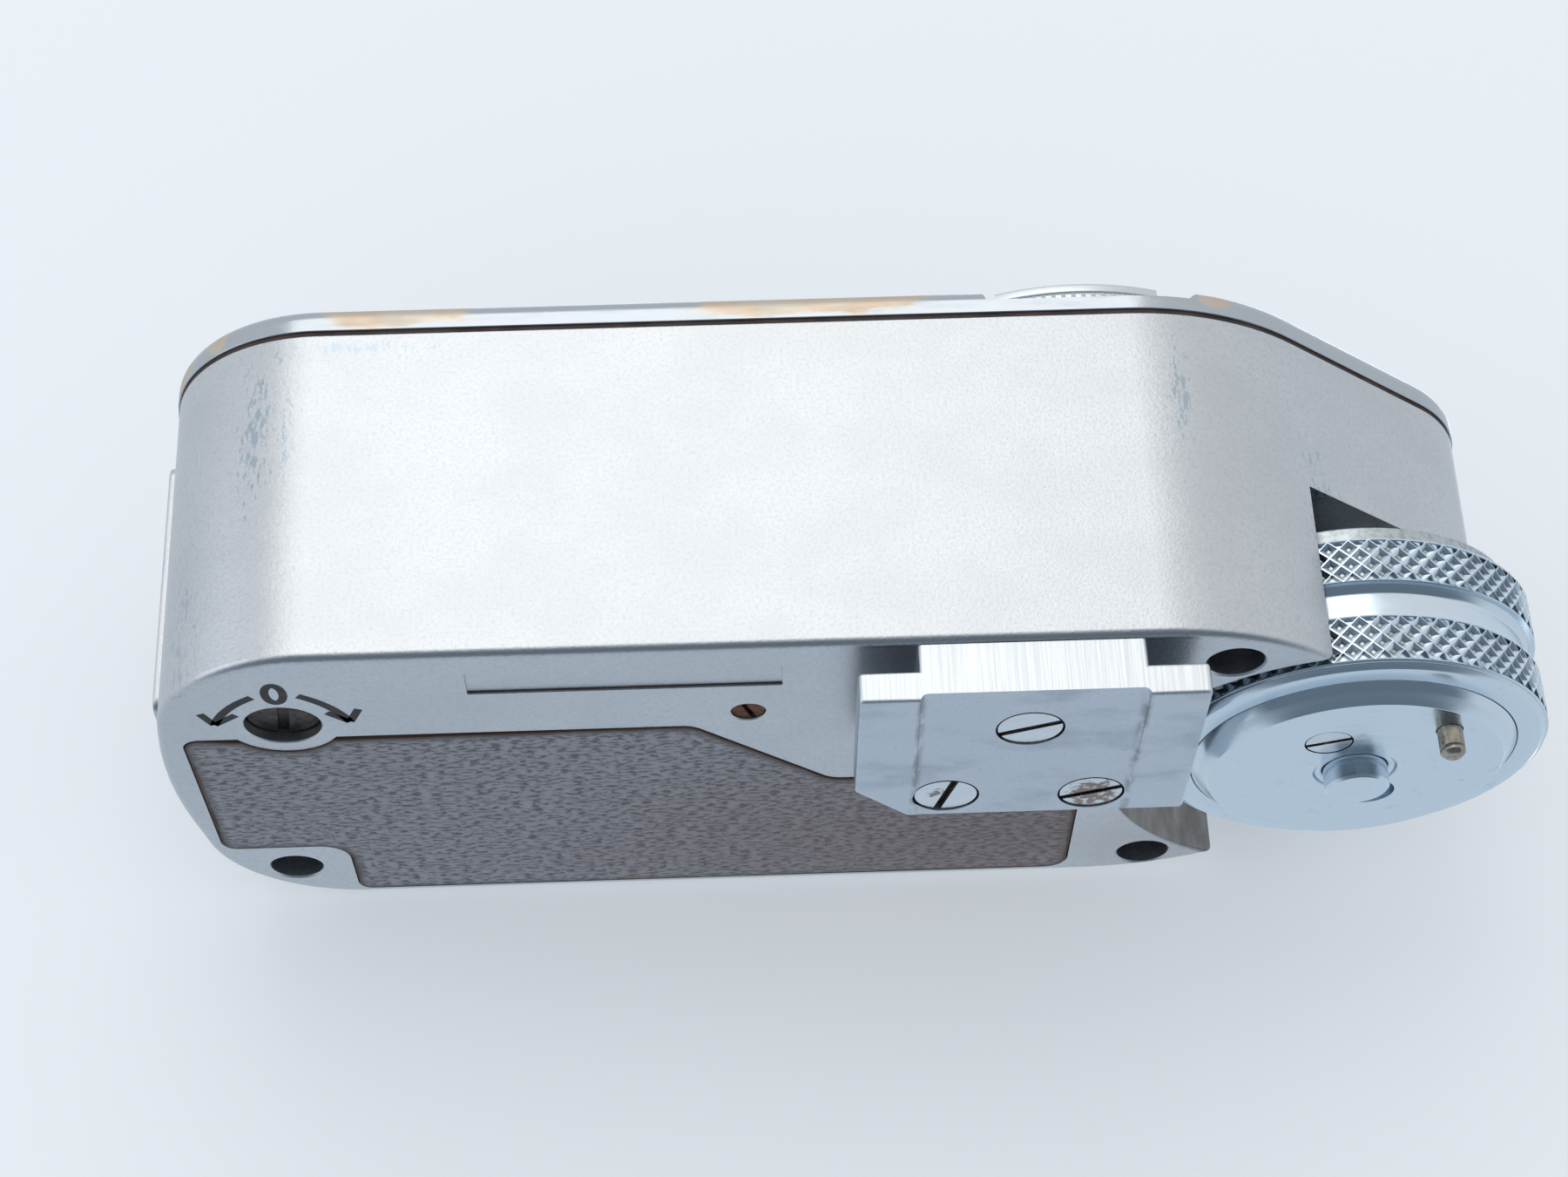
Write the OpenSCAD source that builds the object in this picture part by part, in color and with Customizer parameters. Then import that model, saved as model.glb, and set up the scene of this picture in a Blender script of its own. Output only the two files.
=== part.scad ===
// Shoe-mounted selenium light meter for a rangefinder camera.
// Origin: centre of the foot's sliding face. +Z towards the dial, +X towards the knurled wheel,
// -Y is the face towards the photographer and +Y the face with the light cell. Millimetres.

/* [Case] */
// Depth of the case, rear face to front face
case_depth = 30.4; // [29.5:0.1:31.5]
// Height of the case from its underside to its rim
case_height = 20.3; // [20:0.1:21.5]
// Thickness of the case walls
wall = 1.1; // [0.9:0.1:1.2]
// Thickness of the case floor
floor_t = 1.2; // [1.0:0.1:1.3]
// Thickness of the top cover, from its lower edge to its top
cover_t = 1.7; // [1.6:0.1:1.9]
// Dark gap between the case rim and the top cover
seam = 0.2; // [0.1:0.05:0.3]

/* [Foot] */
// Width over the foot's wings
foot_w = 18.4; // [18.2:0.1:18.6]
// Length of the foot along the shoe
foot_len = 14.2; // [13.5:0.1:15]
// Thickness of the wings
wing_t = 1.8; // [1.7:0.05:2]
// Width of the neck between the shoe's lips
neck_w = 12; // [11.8:0.1:12.4]
// Drop from the case to the foot's sliding face
foot_drop = 3.3; // [3.2:0.05:3.4]

/* [Coupling wheel] */
// Radius over the knurled bands
wheel_r = 10.9; // [10.6:0.1:11]
// Distance of the wheel's axis from the foot's centre
wheel_x = 19.1; // [19.1:0.05:19.3]
// How far the wheel can be lifted off the camera's dial
wheel_lift = 2; // [1.8:0.1:2]
// Radius of the spindle that the wheel slides on
spindle_r = 1.8; // [1.6:0.05:1.85]

/* [Dial] */
// Radius of the exposure disc
dial_r = 13.5; // [13.2:0.1:13.6]
// Half the angle of the film-speed disc's finger tab
tab_half_angle = 20.5; // [15:0.5:24]

/* [Movement] */
// Radius of the needle's tip about its pivot
needle_len = 23; // [20:0.5:23.5]
// Angle that the needle sweeps
needle_sweep = 44; // [36:1:46]
// Direction of the middle of the scale, turned from +X towards the front
scale_turn = 9; // [6:1:11]

/* [Hidden] */

$fn = 64;
eps = 0.02;
gap = 0.05;

// Heights of the case
floor_z = foot_drop;
inside_z = floor_z + floor_t;
rim_z = floor_z + case_height;
cover_z = rim_z + seam;
cover_top = cover_z + cover_t;
rear_y = -7.4;
front_y = rear_y + case_depth;
mid_y = 6.9;

// Plan of the case: corners anticlockwise from the rear left, each with its radius
case_corners = [[-45.9, rear_y], [12.2, rear_y], [28.1, mid_y - 0.9], [28.1, mid_y + 5.05], [9.9, front_y],
    [-45.6, front_y], [-47.9, mid_y]];
case_radii = [9, 15, 8.5, 3, 18, 8.7, 40];

// Wheel, from the disc that faces the camera to the collar
wheel_z = 1.85;
wheel_flange_z = wheel_z + 1;
wheel_top = 11.9;
lift_clearance = 0.2;
plate_r = 8.2;
plate_spigot_r = 9.1;
plate_bore_r = 2.35;
plate_relief_at = [wheel_x + 1.2, mid_y + 2.8];
hub_r = 2.9;
spring_well_r = 6;
spring_well_z = 5.2;
spring_r = 4.3;
spring_wire_r = 0.3;
spring_turns = 6;
flat_x = 1.25;
pin_r = 0.7;
pin_at = [wheel_x + 4.4, mid_y - 4.85];
pin_shank_r = 0.4;
pin_tip_z = 0.2;
pin_shoulder_z = wheel_z - 0.1;
plate_screw_at = [wheel_x - 2.05, mid_y - 3.7];
spindle_z = 0.65;
spindle_top = 19.4;

// Space under the right-hand end for the wheel
notch_at = [wheel_x, mid_y + 2.3];
notch_r = 13.4;
notch_top = wheel_top + wheel_lift + lift_clearance;
shelf_z = notch_top + 1;

// Gear train from the spindle to the dial
gear_module = 0.4;
end_teeth = 20;
idler_teeth = 17;
gear_span = gear_module * (end_teeth + idler_teeth) / 2;
idler_x = wheel_x - gear_span;
dial_x = wheel_x - 2 * gear_span;
gear_z = 17;
gear_t = 1.6;
gear_plate_t = 1;
dial_shaft_r = 1.5;
dial_neck_r = 1.2;

// Dial on top of the cover
dial_floor_z = cover_top - 0.85;
disc_z = dial_floor_z + 0.15;
disc_t = 0.9;
speed_z = disc_z + disc_t + 0.15;
speed_t = 0.6;
speed_r = 10.6;
tab_r = 13.1;
recess_r = dial_r + 0.25;

// Screws through the case: places on the underside
case_screw_spots = [[-42, 18.9], [8.7, 20.6], [11.1, -4.0]];
case_screw_head_r = 1.45;
case_screw_well_r = 1.55;
case_screw_r = 0.75;
case_screw_seat = floor_z + 2.9;
scale_screw_at = [-14.9, 0.1];
scale_boss_h = 1;
foot_screw_spots = [[0, -2.85, -22], [-4.15, 4.8, -76], [3.9, 4.95, -21]];
foot_screw_r = 1.85;
// Depth of the channel between the foot's wings, at its rear and at its front end
channel_depth = [0.44, 0.06];

// Zero adjuster and moving-coil movement
pivot_at = [-36, 3];
zero_at = [-40.1, 0];
zero_throw = 0.6;
zero_pin_at = zero_at + zero_throw * (zero_at - pivot_at) / norm(zero_at - pivot_at);
arm_z = 8.5;
lower_bridge_z = 7.2;
core_r = 4.5;
core_z = [11, 18];
yoke_r = [6.2, 8.5];
yoke_z = [10.6, 18.4];
coil_r = [4.9, 5.7];
coil_z = [9.9, 19.2];
coil_w = 1.6;
upper_bridge_z = 20.4;
needle_low_z = 19.5;
needle_z = 22.7;
scale_z = 21.9;
scale_screw_arm = scale_screw_at - pivot_at;
scale_posts = [scale_screw_at, pivot_at + turned(scale_screw_arm, 2 * (scale_turn - atan2(scale_screw_arm.y,
    scale_screw_arm.x)))];

// Light cell behind its lens panel
window_x = [-38, 1];
window_z = [7, 20.6];

// ---------- helpers ----------

function unit(v) = v / norm(v);
function half_angle(p, q, s) = acos(unit(p - q) * unit(s - q)) / 2;
function turn_sign(p, q, s) = sign((q - p).x * (s - q).y - (q - p).y * (s - q).x);
function turned(v, a) = [v.x * cos(a) - v.y * sin(a), v.x * sin(a) + v.y * cos(a)];
function prev(list, i) = list[(i + len(list) - 1) % len(list)];
function next(list, i) = list[(i + 1) % len(list)];

// Arc that rounds corner q between p and s
function corner_arc(p, q, s, r) =
    let (h = half_angle(p, q, s), u = unit(p - q), c = q + unit(u + unit(s - q)) * r / sin(h))
    let (start = q + u * r / tan(h) - c, sweep = turn_sign(p, q, s) * (180 - 2 * h))
    let (steps = max(3, ceil(abs(sweep) / 6)))
    [for (k = [0:steps]) c + turned(start, sweep * k / steps)];

// Closed outline with rounded corners, drawn d inside the corners given
function outline(pts, radii, d = 0) =
    let (moved = [for (i = [0:len(pts) - 1])
        let (p = prev(pts, i), q = pts[i], s = next(pts, i))
        q + turn_sign(p, q, s) * unit(unit(p - q) + unit(s - q)) * d / sin(half_angle(p, q, s))])
    [for (i = [0:len(pts) - 1])
        let (sgn = turn_sign(prev(moved, i), moved[i], next(moved, i)))
        each corner_arc(prev(moved, i), moved[i], next(moved, i), max(0.05, radii[i] - sgn * d))];

module case_plan(d = 0) {
    polygon(outline(case_corners, case_radii, d));
}

module slab(z0, z1) {
    translate([0, 0, z0]) linear_extrude(z1 - z0) children();
}

module post(at, r, z0, z1) {
    translate([at.x, at.y, z0]) cylinder(r = r, h = z1 - z0);
}

module tube(at, r_in, r_out, z0, z1) {
    difference() {
        post(at, r_out, z0, z1);
        post(at, r_in, z0 - eps, z1 + eps);
    }
}

module box(lo, hi) {
    translate(lo) cube(hi - lo);
}

module rod(a, b, r) {
    v = b - a;
    translate(a) rotate([0, acos(v.z / norm(v)), atan2(v.y, v.x)]) cylinder(r = r, h = norm(v), $fn = 16);
}

// Slotted screw that stands on its head: slot side at z0, shank upwards
module slotted_screw(at, head_r, head_h, shank_r, z0, z1, slot_w, slot_angle) {
    difference() {
        union() {
            post(at, head_r, z0, z0 + head_h);
            post(at, shank_r, z0 + head_h - eps, z1);
        }
        translate([at.x, at.y, z0]) rotate(slot_angle)
            cube([2 * head_r + 1, slot_w, head_h * 0.9], center = true);
    }
}

// Involute spur gear outline
function inv(a) = tan(a) * 180 / PI - a;
function flank(r, n) =
    let (rp = gear_module * n / 2, rb = rp * cos(20), a = r > rb ? acos(rb / r) : 0)
    90 / n - 0.6 + inv(20) - inv(a);
function gear_points(n) =
    let (rp = gear_module * n / 2, root = rp - 1.25 * gear_module, base = max(root + 0.05, rp * cos(20)))
    let (rs = [root, for (k = [0:4]) base + (rp + gear_module - base) * k / 4])
    [for (i = [0:n - 1])
        each concat([for (r = rs) r * [cos(360 * i / n - flank(r, n)), sin(360 * i / n - flank(r, n))]],
            [for (k = [len(rs) - 1:-1:0])
                rs[k] * [cos(360 * i / n + flank(rs[k], n)), sin(360 * i / n + flank(rs[k], n))]])];

module gear(at, n, bore, phase) {
    difference() {
        translate([at.x, at.y, gear_z]) rotate(phase) linear_extrude(gear_t) polygon(gear_points(n));
        post(at, bore, gear_z - eps, gear_z + gear_t + eps);
    }
}

// Flat spiral strip
module spiral(at, r0, r1, turns, thick, z0, z1, start) {
    n = 24 * turns;
    function arm(i, side) = (r0 + (r1 - r0) * i / n + side * thick / 2)
        * [cos(start + 15 * i), sin(start + 15 * i)];
    translate([at.x, at.y, z0]) linear_extrude(z1 - z0)
        polygon(concat([for (i = [0:n]) arm(i, 1)], [for (i = [n:-1:0]) arm(i, -1)]));
}

// Ring sector in plan, from angle -half to +half about +X
module sector(r_in, r_out, half, z0, z1) {
    steps = 12;
    translate([0, 0, z0]) linear_extrude(z1 - z0)
        polygon(concat([for (k = [-steps:steps]) r_out * [cos(half * k / steps), sin(half * k / steps)]],
            [for (k = [steps:-1:-steps]) r_in * [cos(half * k / steps), sin(half * k / steps)]]));
}

// ---------- case ----------

inlay_corners = [[-45.85, 1.6], [-18, 1.6], [-10.3, 8.8], [4.15, 8.8], [4.15, 22.3], [-38.6, 22.3],
    [-38.6, 16], [-45.85, 16]];
inlay_radii = [0.9, 1.6, 1.6, 0.8, 1.3, 0.8, 1.8, 0.9];
inlay_depth = 0.35;
zero_ring_r = 3.1;

module inlay_plan(d) {
    difference() {
        polygon(outline(inlay_corners, inlay_radii, d));
        translate(zero_at) circle(r = zero_ring_r + d);
    }
}

module case_hollow() {
    difference() {
        slab(inside_z, rim_z + 1) case_plan(wall);
        post(notch_at, notch_r + wall, inside_z - 1, shelf_z);
        for (at = case_screw_spots) post(at, 2.6, inside_z - 1, rim_z);
        post(zero_at, 3.2, inside_z - 1, inside_z + 1.1);
        for (at = scale_posts) post(at, 1.6, inside_z - 1, inside_z + scale_boss_h);
    }
}

module body_shell() {
    color("#cdc9c0") difference() {
        slab(floor_z, rim_z) case_plan();
        case_hollow();
        post(notch_at, notch_r, floor_z - 1, notch_top);
        slab(floor_z - 1, floor_z + inlay_depth) inlay_plan(0);
        box([-29.9, -5.4, floor_z - 1], [-13, -2.95, floor_z + 0.15]);
        box([window_x[0], front_y - wall - 1, window_z[0]], [window_x[1], front_y + 1, window_z[1]]);
        for (at = case_screw_spots) {
            post(at, case_screw_well_r, floor_z - 1, case_screw_seat);
            post(at, case_screw_r + 0.15, floor_z - 1, rim_z + 1);
        }
        post(zero_at, 2.1, floor_z - 1, inside_z + 0.1);
        post(zero_at, 1.25, floor_z - 1, inside_z + 2);
        post(scale_screw_at, 0.95, floor_z - 1, floor_z + 0.8);
        post(scale_screw_at, 0.6, floor_z - 1, inside_z + 2);
        for (s = foot_screw_spots) post(s, 0.8, floor_z - 1, inside_z + 1);
        post([wheel_x, mid_y], 2.6, notch_top - 1, shelf_z + 1);
        for (side = [-1, 1]) post([8.6, mid_y + 2.4 * side], 0.6, notch_top - 1, shelf_z + 1);
        for (z = [9, 19.6])
            translate([-50, mid_y, z]) rotate([0, 90, 0]) cylinder(r = 0.6, h = 5);
    }
}

module leatherette() {
    color("#6f7072") slab(floor_z - 0.05, floor_z + inlay_depth) inlay_plan(0.08);
}

// Height of the sloping channel's bed
function channel_at(y) = channel_depth[0] + (channel_depth[1] - channel_depth[0]) * (y / foot_len + 0.5);

module foot() {
    chamfer = [2.96, 3.25];
    w = foot_w / 2;
    l = foot_len / 2;
    color("#b9bcc0") difference() {
        union() {
            slab(0, wing_t)
                polygon([[-w, -l], [w, -l], [w, l], [-w + chamfer.x, l], [-w, l - chamfer.y]]);
            box([-neck_w / 2, -l, wing_t - eps], [neck_w / 2, l, foot_drop]);
        }
        translate([-neck_w / 2, 0, 0]) rotate([90, 0, 90]) linear_extrude(neck_w)
            polygon([[-l - 1, -1], [l + 1, -1], [l + 1, channel_at(l + 1)], [-l - 1, channel_at(-l - 1)]]);
        for (s = foot_screw_spots) {
            post(s, foot_screw_r, -1, channel_at(s.y) + 1);
            post(s, 0.8, -1, foot_drop + 1);
        }
    }
}

module foot_screws() {
    color("#8d8b88") for (s = foot_screw_spots)
        slotted_screw(s, foot_screw_r, 1, 0.8, channel_at(s.y), inside_z - 0.1, 0.5, s.z);
}

module case_screws() {
    color("#8a8a8a") for (at = case_screw_spots)
        slotted_screw(at, case_screw_head_r, 1.2, case_screw_r, case_screw_seat - 1.2, cover_top - 0.9, 0.5, 35);
}

module scale_post_screw() {
    color("#7b5a44")
        slotted_screw(scale_screw_at, 0.95, 0.7, 0.6, floor_z + 0.1, inside_z + 3, 0.35, 70);
}

module end_plate() {
    color("#c4c2bd") difference() {
        box([-48.06, mid_y - 3.3, 6.3], [-47.51, mid_y + 3.3, 22.3]);
        for (z = [9, 19.6])
            translate([-50, mid_y, z]) rotate([0, 90, 0]) cylinder(r = 0.6, h = 5);
    }
}

module end_plate_rivets() {
    color("#b5b3ae") for (z = [9, 19.6]) translate([-48.3, mid_y, z]) rotate([0, 90, 0]) {
        cylinder(r = 1, h = 0.24);
        cylinder(r = 0.6, h = 1.8);
    }
}

// ---------- top cover and dial window ----------

module about_scale() {
    translate([pivot_at.x, pivot_at.y, 0]) rotate(scale_turn) children();
}

module top_cover() {
    color("#d4d3cf") difference() {
        slab(cover_z, cover_top) case_plan(-0.1);
        difference() {
            slab(cover_z - 1, dial_floor_z) case_plan(wall);
            post([dial_x, mid_y], recess_r + 1, cover_z - 1, cover_top);
            for (at = case_screw_spots) post(at, 1.9, cover_z - 1, cover_top);
        }
        post([dial_x, mid_y], recess_r, dial_floor_z, cover_top + 1);
        post([dial_x, mid_y], dial_shaft_r + gap, cover_z - 1, cover_top);
        box([-1, rear_y - 1, dial_floor_z], [10.7, mid_y, cover_top + 1]);
        for (at = case_screw_spots) post(at, case_screw_r, cover_z - 1, cover_top - 0.8);
        about_scale()
            sector(needle_len - 9.5, needle_len + 0.6, needle_sweep / 2 + 3, cover_z, cover_top + 1);
    }
}

module scale_window() {
    color("#dfe8ec", 0.4) about_scale()
        sector(needle_len - 10.4, needle_len + 1.3, needle_sweep / 2 + 5, dial_floor_z - 0.6, dial_floor_z);
}

module scale_plate() {
    color("#efece2") {
        about_scale() sector(10, needle_len + 2, needle_sweep / 2 + 7, scale_z, scale_z + 0.3);
        difference() {
            for (at = scale_posts) post(at, 1.3, inside_z + scale_boss_h, scale_z + eps);
            post(scale_screw_at, 0.6, inside_z, inside_z + 3.1);
        }
    }
}

// ---------- light cell ----------

module lens_panel() {
    color("#dfe6ea", 0.5) {
        box([window_x[0] + 0.1, front_y - wall - 0.1, window_z[0] + 0.1],
            [window_x[1] - 0.1, front_y + 0.15, window_z[1] - 0.1]);
        box([window_x[0] - 0.6, front_y - wall - 0.9, window_z[0] - 0.6],
            [window_x[1] + 0.6, front_y - wall - 0.02, window_z[1] + 0.6]);
    }
}

module front_bezel() {
    color("#c9c7c2") difference() {
        box([window_x[0] - 1.4, front_y, window_z[0] - 1.4], [window_x[1] + 1.4, front_y + 0.4, window_z[1] + 1.4]);
        box([window_x[0], front_y - 1, window_z[0]], [window_x[1], front_y + 1, window_z[1]]);
    }
}

module selenium_cell() {
    color("#4a4f58") box([window_x[0] - 0.5, front_y - wall - 1.7, window_z[0] - 0.5],
        [window_x[1] + 0.5, front_y - wall - 0.95, window_z[1] + 0.5]);
}

module cell_contact_spring() {
    back = front_y - wall - 1.72;
    color("#c39a5a") for (x = [-30, -8]) {
        box([x - 4, back - 0.3, 12.6], [x + 4, back, 15]);
        box([x - 4, back - 2.6, 4.5], [x + 4, back - 2.3, 15]);
        box([x - 4, back - 2.6, 14.7], [x + 4, back, 15]);
    }
}

module cell_leads() {
    back = front_y - wall - 4.35;
    ends = [[-30, [-34, 11.4, 13]], [-8, [-29, 8.4, 16]]];
    color("#7a2a22") for (e = ends) {
        corner = [e[1].x, back - 1.5, e[1].z];
        rod([e[0], back, 10], [e[0], back - 1.5, 10], 0.3);
        rod([e[0], back - 1.5, 10], corner, 0.3);
        rod(corner, e[1], 0.3);
        for (p = [[e[0], back - 1.5, 10], corner]) translate(p) sphere(r = 0.3, $fn = 16);
    }
}

module series_resistor() {
    color("#6b4a2f") {
        rod([-24, 7, inside_z + 2], [-14, 7, inside_z + 2], 1.8);
        for (x = [-24, -14]) box([x - 0.3, 5, inside_z], [x + 0.3, 9, inside_z + 4]);
    }
}

// ---------- coupling wheel ----------

// Section of the wheel: knurled bands above and below a polished groove, spring well and hub inside
wheel_section = [[plate_spigot_r + gap, wheel_flange_z], [wheel_r - 0.5, wheel_flange_z],
    [wheel_r, wheel_flange_z + 0.45], [wheel_r, 5.9], [wheel_r - 0.7, 6.2], [wheel_r - 0.7, 7.65],
    [wheel_r, 8.1], [wheel_r, 10.6], [9.8, 10.65], [9.8, 10.8], [10, 10.85], [10, wheel_top],
    [spring_well_r, wheel_top], [spring_well_r, spring_well_z], [hub_r, spring_well_z], [hub_r, 11.2],
    [spindle_r + gap, 11.2], [spindle_r + gap, 3.9], [plate_spigot_r + gap, 3.9]];

module wheel() {
    color("#c3cad0") {
        difference() {
            translate([wheel_x, mid_y, 0]) rotate_extrude($fn = 96) polygon(wheel_section);
            post(plate_screw_at, 0.6, 3, 5);
        }
        intersection() {
            post([wheel_x, mid_y], spindle_r + 0.4, 3.9, 11.2);
            box([wheel_x + flat_x + gap, mid_y - 3, 3.9], [wheel_x + 3, mid_y + 3, 11.2]);
        }
    }
}

module wheel_plate() {
    color("#bcc7cf") difference() {
        translate([wheel_x, mid_y, 0]) rotate_extrude($fn = 96) polygon([[plate_bore_r, wheel_z], [plate_r, wheel_z],
            [plate_spigot_r, wheel_flange_z], [plate_spigot_r, 3.85], [plate_bore_r, 3.85]]);
        post(plate_relief_at, 1.5, wheel_z - 1, wheel_z + 1);
        post(pin_at, pin_shank_r, wheel_z - 1, 4);
        post(plate_screw_at, 1.35, wheel_z - 1, wheel_z + 0.75);
        post(plate_screw_at, 0.6, wheel_z - 1, 4);
    }
}

module plate_screw() {
    color("#a9adb0") slotted_screw(plate_screw_at, 1.35, 0.75, 0.6, wheel_z, 4.9, 0.4, -19);
}

module coupling_pin() {
    color("#a59a80") {
        translate([pin_at.x, pin_at.y, pin_tip_z]) cylinder(r1 = pin_r - 0.25, r2 = pin_r, h = 0.25);
        post(pin_at, pin_r, pin_tip_z + 0.25, pin_shoulder_z);
        post(pin_at, pin_shank_r, pin_shoulder_z - eps, 3.85);
    }
}

module spindle() {
    color("#9aa0a4") difference() {
        translate([wheel_x, mid_y, 0]) {
            translate([0, 0, spindle_z]) cylinder(r1 = spindle_r - 0.15, r2 = spindle_r, h = 0.15);
            translate([0, 0, spindle_z + 0.15]) cylinder(r = spindle_r, h = spindle_top - spindle_z - 0.15);
        }
        box([wheel_x + flat_x, mid_y - 3, 3.9], [wheel_x + 3, mid_y + 3, notch_top - 0.2]);
    }
}

module lift_spring() {
    sides = 8;
    rings = 20 * spring_turns;
    low = spring_well_z + spring_wire_r;
    rise = notch_top - spring_wire_r - low;
    pts = [for (i = [0:rings], k = [0:sides - 1])
        let (a = 360 * spring_turns * i / rings, b = 360 * k / sides, r = spring_r + spring_wire_r * cos(b))
        [wheel_x + r * cos(a), mid_y + r * sin(a), low + rise * i / rings + spring_wire_r * sin(b)]];
    skin = [for (i = [0:rings - 1], k = [0:sides - 1])
        [i * sides + k, i * sides + (k + 1) % sides, (i + 1) * sides + (k + 1) % sides, (i + 1) * sides + k]];
    caps = [[for (k = [sides - 1:-1:0]) k], [for (k = [0:sides - 1]) rings * sides + k]];
    color("#8f9499") polyhedron(pts, concat(skin, caps));
}

module spindle_bush() {
    color("#b9975a") difference() {
        union() {
            post([wheel_x, mid_y], 2.6, notch_top, shelf_z);
            post([wheel_x, mid_y], 3.4, shelf_z, shelf_z + 1.05);
        }
        post([wheel_x, mid_y], spindle_r + gap, notch_top - 1, shelf_z + 2);
    }
}

module spindle_gear() {
    color("#c6a35c") gear([wheel_x, mid_y], end_teeth, spindle_r, 180 / end_teeth);
}

module spindle_clip() {
    color("#6d7175") tube([wheel_x, mid_y], spindle_r, 2.4, gear_z + gear_t + gap, gear_z + gear_t + 0.4);
}

// ---------- gear train and dial ----------

module gear_plate() {
    color("#c2a568") difference() {
        union() {
            post([dial_x, mid_y], 3.6, shelf_z, shelf_z + gear_plate_t);
            post([wheel_x, mid_y], 5, shelf_z, shelf_z + gear_plate_t);
            box([dial_x, mid_y - 3.6, shelf_z], [wheel_x, mid_y + 3.6, shelf_z + gear_plate_t]);
        }
        post([wheel_x, mid_y], 3.45, shelf_z - 1, shelf_z + 2);
        post([dial_x, mid_y], 0.85, shelf_z - 1, shelf_z + 2);
        post([idler_x, mid_y], 0.8, shelf_z - 1, shelf_z + 2);
        for (side = [-1, 1]) post([8.6, mid_y + 2.4 * side], 0.6, shelf_z - 1, shelf_z + 2);
    }
}

module gear_plate_screws() {
    top = shelf_z + gear_plate_t;
    color("#8b8f93") for (side = [-1, 1]) difference() {
        union() {
            post([8.6, mid_y + 2.4 * side], 1.15, top, top + 0.6);
            post([8.6, mid_y + 2.4 * side], 0.6, notch_top + 0.2, top + 0.1);
        }
        box([7, mid_y + 2.4 * side - 0.18, top + 0.3], [10, mid_y + 2.4 * side + 0.18, top + 1]);
    }
}

module idler_stud() {
    at = [idler_x, mid_y];
    low = shelf_z + gear_plate_t;
    color("#9aa0a4") {
        post(at, 0.8, shelf_z, gear_z + gear_t + 0.6);
        post(at, 1.3, low, gear_z - gap);
        post(at, 1.4, gear_z + gear_t + gap, gear_z + gear_t + 0.5);
    }
}

module idler_gear() {
    color("#c6a35c") gear([idler_x, mid_y], idler_teeth, 0.85, 180 - 180 / idler_teeth);
}

module dial_shaft() {
    at = [dial_x, mid_y];
    color("#9aa0a4") difference() {
        union() {
            post(at, 0.8, shelf_z + 0.1, shelf_z + gear_plate_t + gap + eps);
            post(at, dial_shaft_r, shelf_z + gear_plate_t + gap, disc_z);
            post(at, dial_neck_r, disc_z - eps, speed_z + speed_t);
        }
        post(at, 0.7, disc_z - 3, cover_top + 3);
    }
}

module dial_gear() {
    color("#c6a35c") gear([dial_x, mid_y], end_teeth, dial_shaft_r, 0);
}

module exposure_disc() {
    color("#c8ccd0") tube([dial_x, mid_y], dial_neck_r, dial_r, disc_z, disc_z + disc_t);
}

module speed_disc() {
    color("#cfd3d6") {
        tube([dial_x, mid_y], dial_neck_r + gap, speed_r, speed_z, speed_z + speed_t);
        translate([dial_x, mid_y, 0]) rotate(-90)
            sector(speed_r - 0.5, tab_r, tab_half_angle, speed_z, speed_z + speed_t);
    }
}

module dial_washer() {
    color("#a8abad") tube([dial_x, mid_y], 0.75, 2.3, speed_z + speed_t + gap, speed_z + speed_t + 0.25);
}

module dial_screw() {
    top = speed_z + speed_t + 0.25;
    color("#b4b7ba") difference() {
        union() {
            post([dial_x, mid_y], 0.7, disc_z - 2.5, top + 0.1);
            post([dial_x, mid_y], 2.4, top, top + 0.6);
        }
        box([dial_x - 3, mid_y - 0.3, top + 0.3], [dial_x + 3, mid_y + 0.3, top + 1]);
    }
}

// ---------- movement ----------

module about_pivot() {
    translate([pivot_at.x, pivot_at.y, 0]) children();
}

module magnet_yoke() {
    color("#5d6166") {
        tube(pivot_at, yoke_r[0], yoke_r[1], yoke_z[0], yoke_z[1]);
        about_pivot() for (side = [-1, 1]) post([7.4 * side, 0], 0.95, lower_bridge_z + 1, yoke_z[0]);
    }
}

module core_magnet() {
    color("#474b50") post(pivot_at, core_r, core_z[0], core_z[1]);
}

module core_bracket() {
    color("#b99b63") about_pivot() for (side = [0, 180]) rotate(side)
        intersection() {
            difference() {
                box([0, -1, 13.5], [yoke_r[0] + 1, 1, 15.5]);
                cylinder(r = core_r, h = 40);
            }
            cylinder(r = yoke_r[0], h = 40);
        }
}

module lower_bridge() {
    color("#c2a568") about_pivot() difference() {
        union() {
            box([-8.4, -2.2, lower_bridge_z], [8.4, 2.2, lower_bridge_z + 1]);
            for (side = [-1, 1]) post([7.4 * side, 0], 0.95, inside_z, lower_bridge_z + eps);
        }
        post([0, 0], 1.2, lower_bridge_z - 1, lower_bridge_z + 2);
    }
}

module upper_bridge() {
    color("#c2a568") about_pivot() difference() {
        union() {
            box([-2.2, -8.4, upper_bridge_z], [2.2, 8.4, upper_bridge_z + 0.8]);
            for (side = [-1, 1]) post([0, 7.35 * side], 1, yoke_z[1], upper_bridge_z + eps);
        }
        post([0, 0], 1.2, upper_bridge_z - 1, upper_bridge_z + 2);
        for (side = [-1, 1]) post([0, 7.35 * side], 0.5, yoke_z[1] - 1, upper_bridge_z + 2);
    }
}

module bridge_screws() {
    top = upper_bridge_z + 0.8;
    color("#8b8f93") about_pivot() for (side = [-1, 1]) difference() {
        union() {
            post([0, 7.35 * side], 0.5, yoke_z[1] + 0.1, top + 0.1);
            post([0, 7.35 * side], 0.95, top, top + 0.5);
        }
        box([-2, 7.35 * side - 0.15, top + 0.25], [2, 7.35 * side + 0.15, top + 1]);
    }
}

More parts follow.
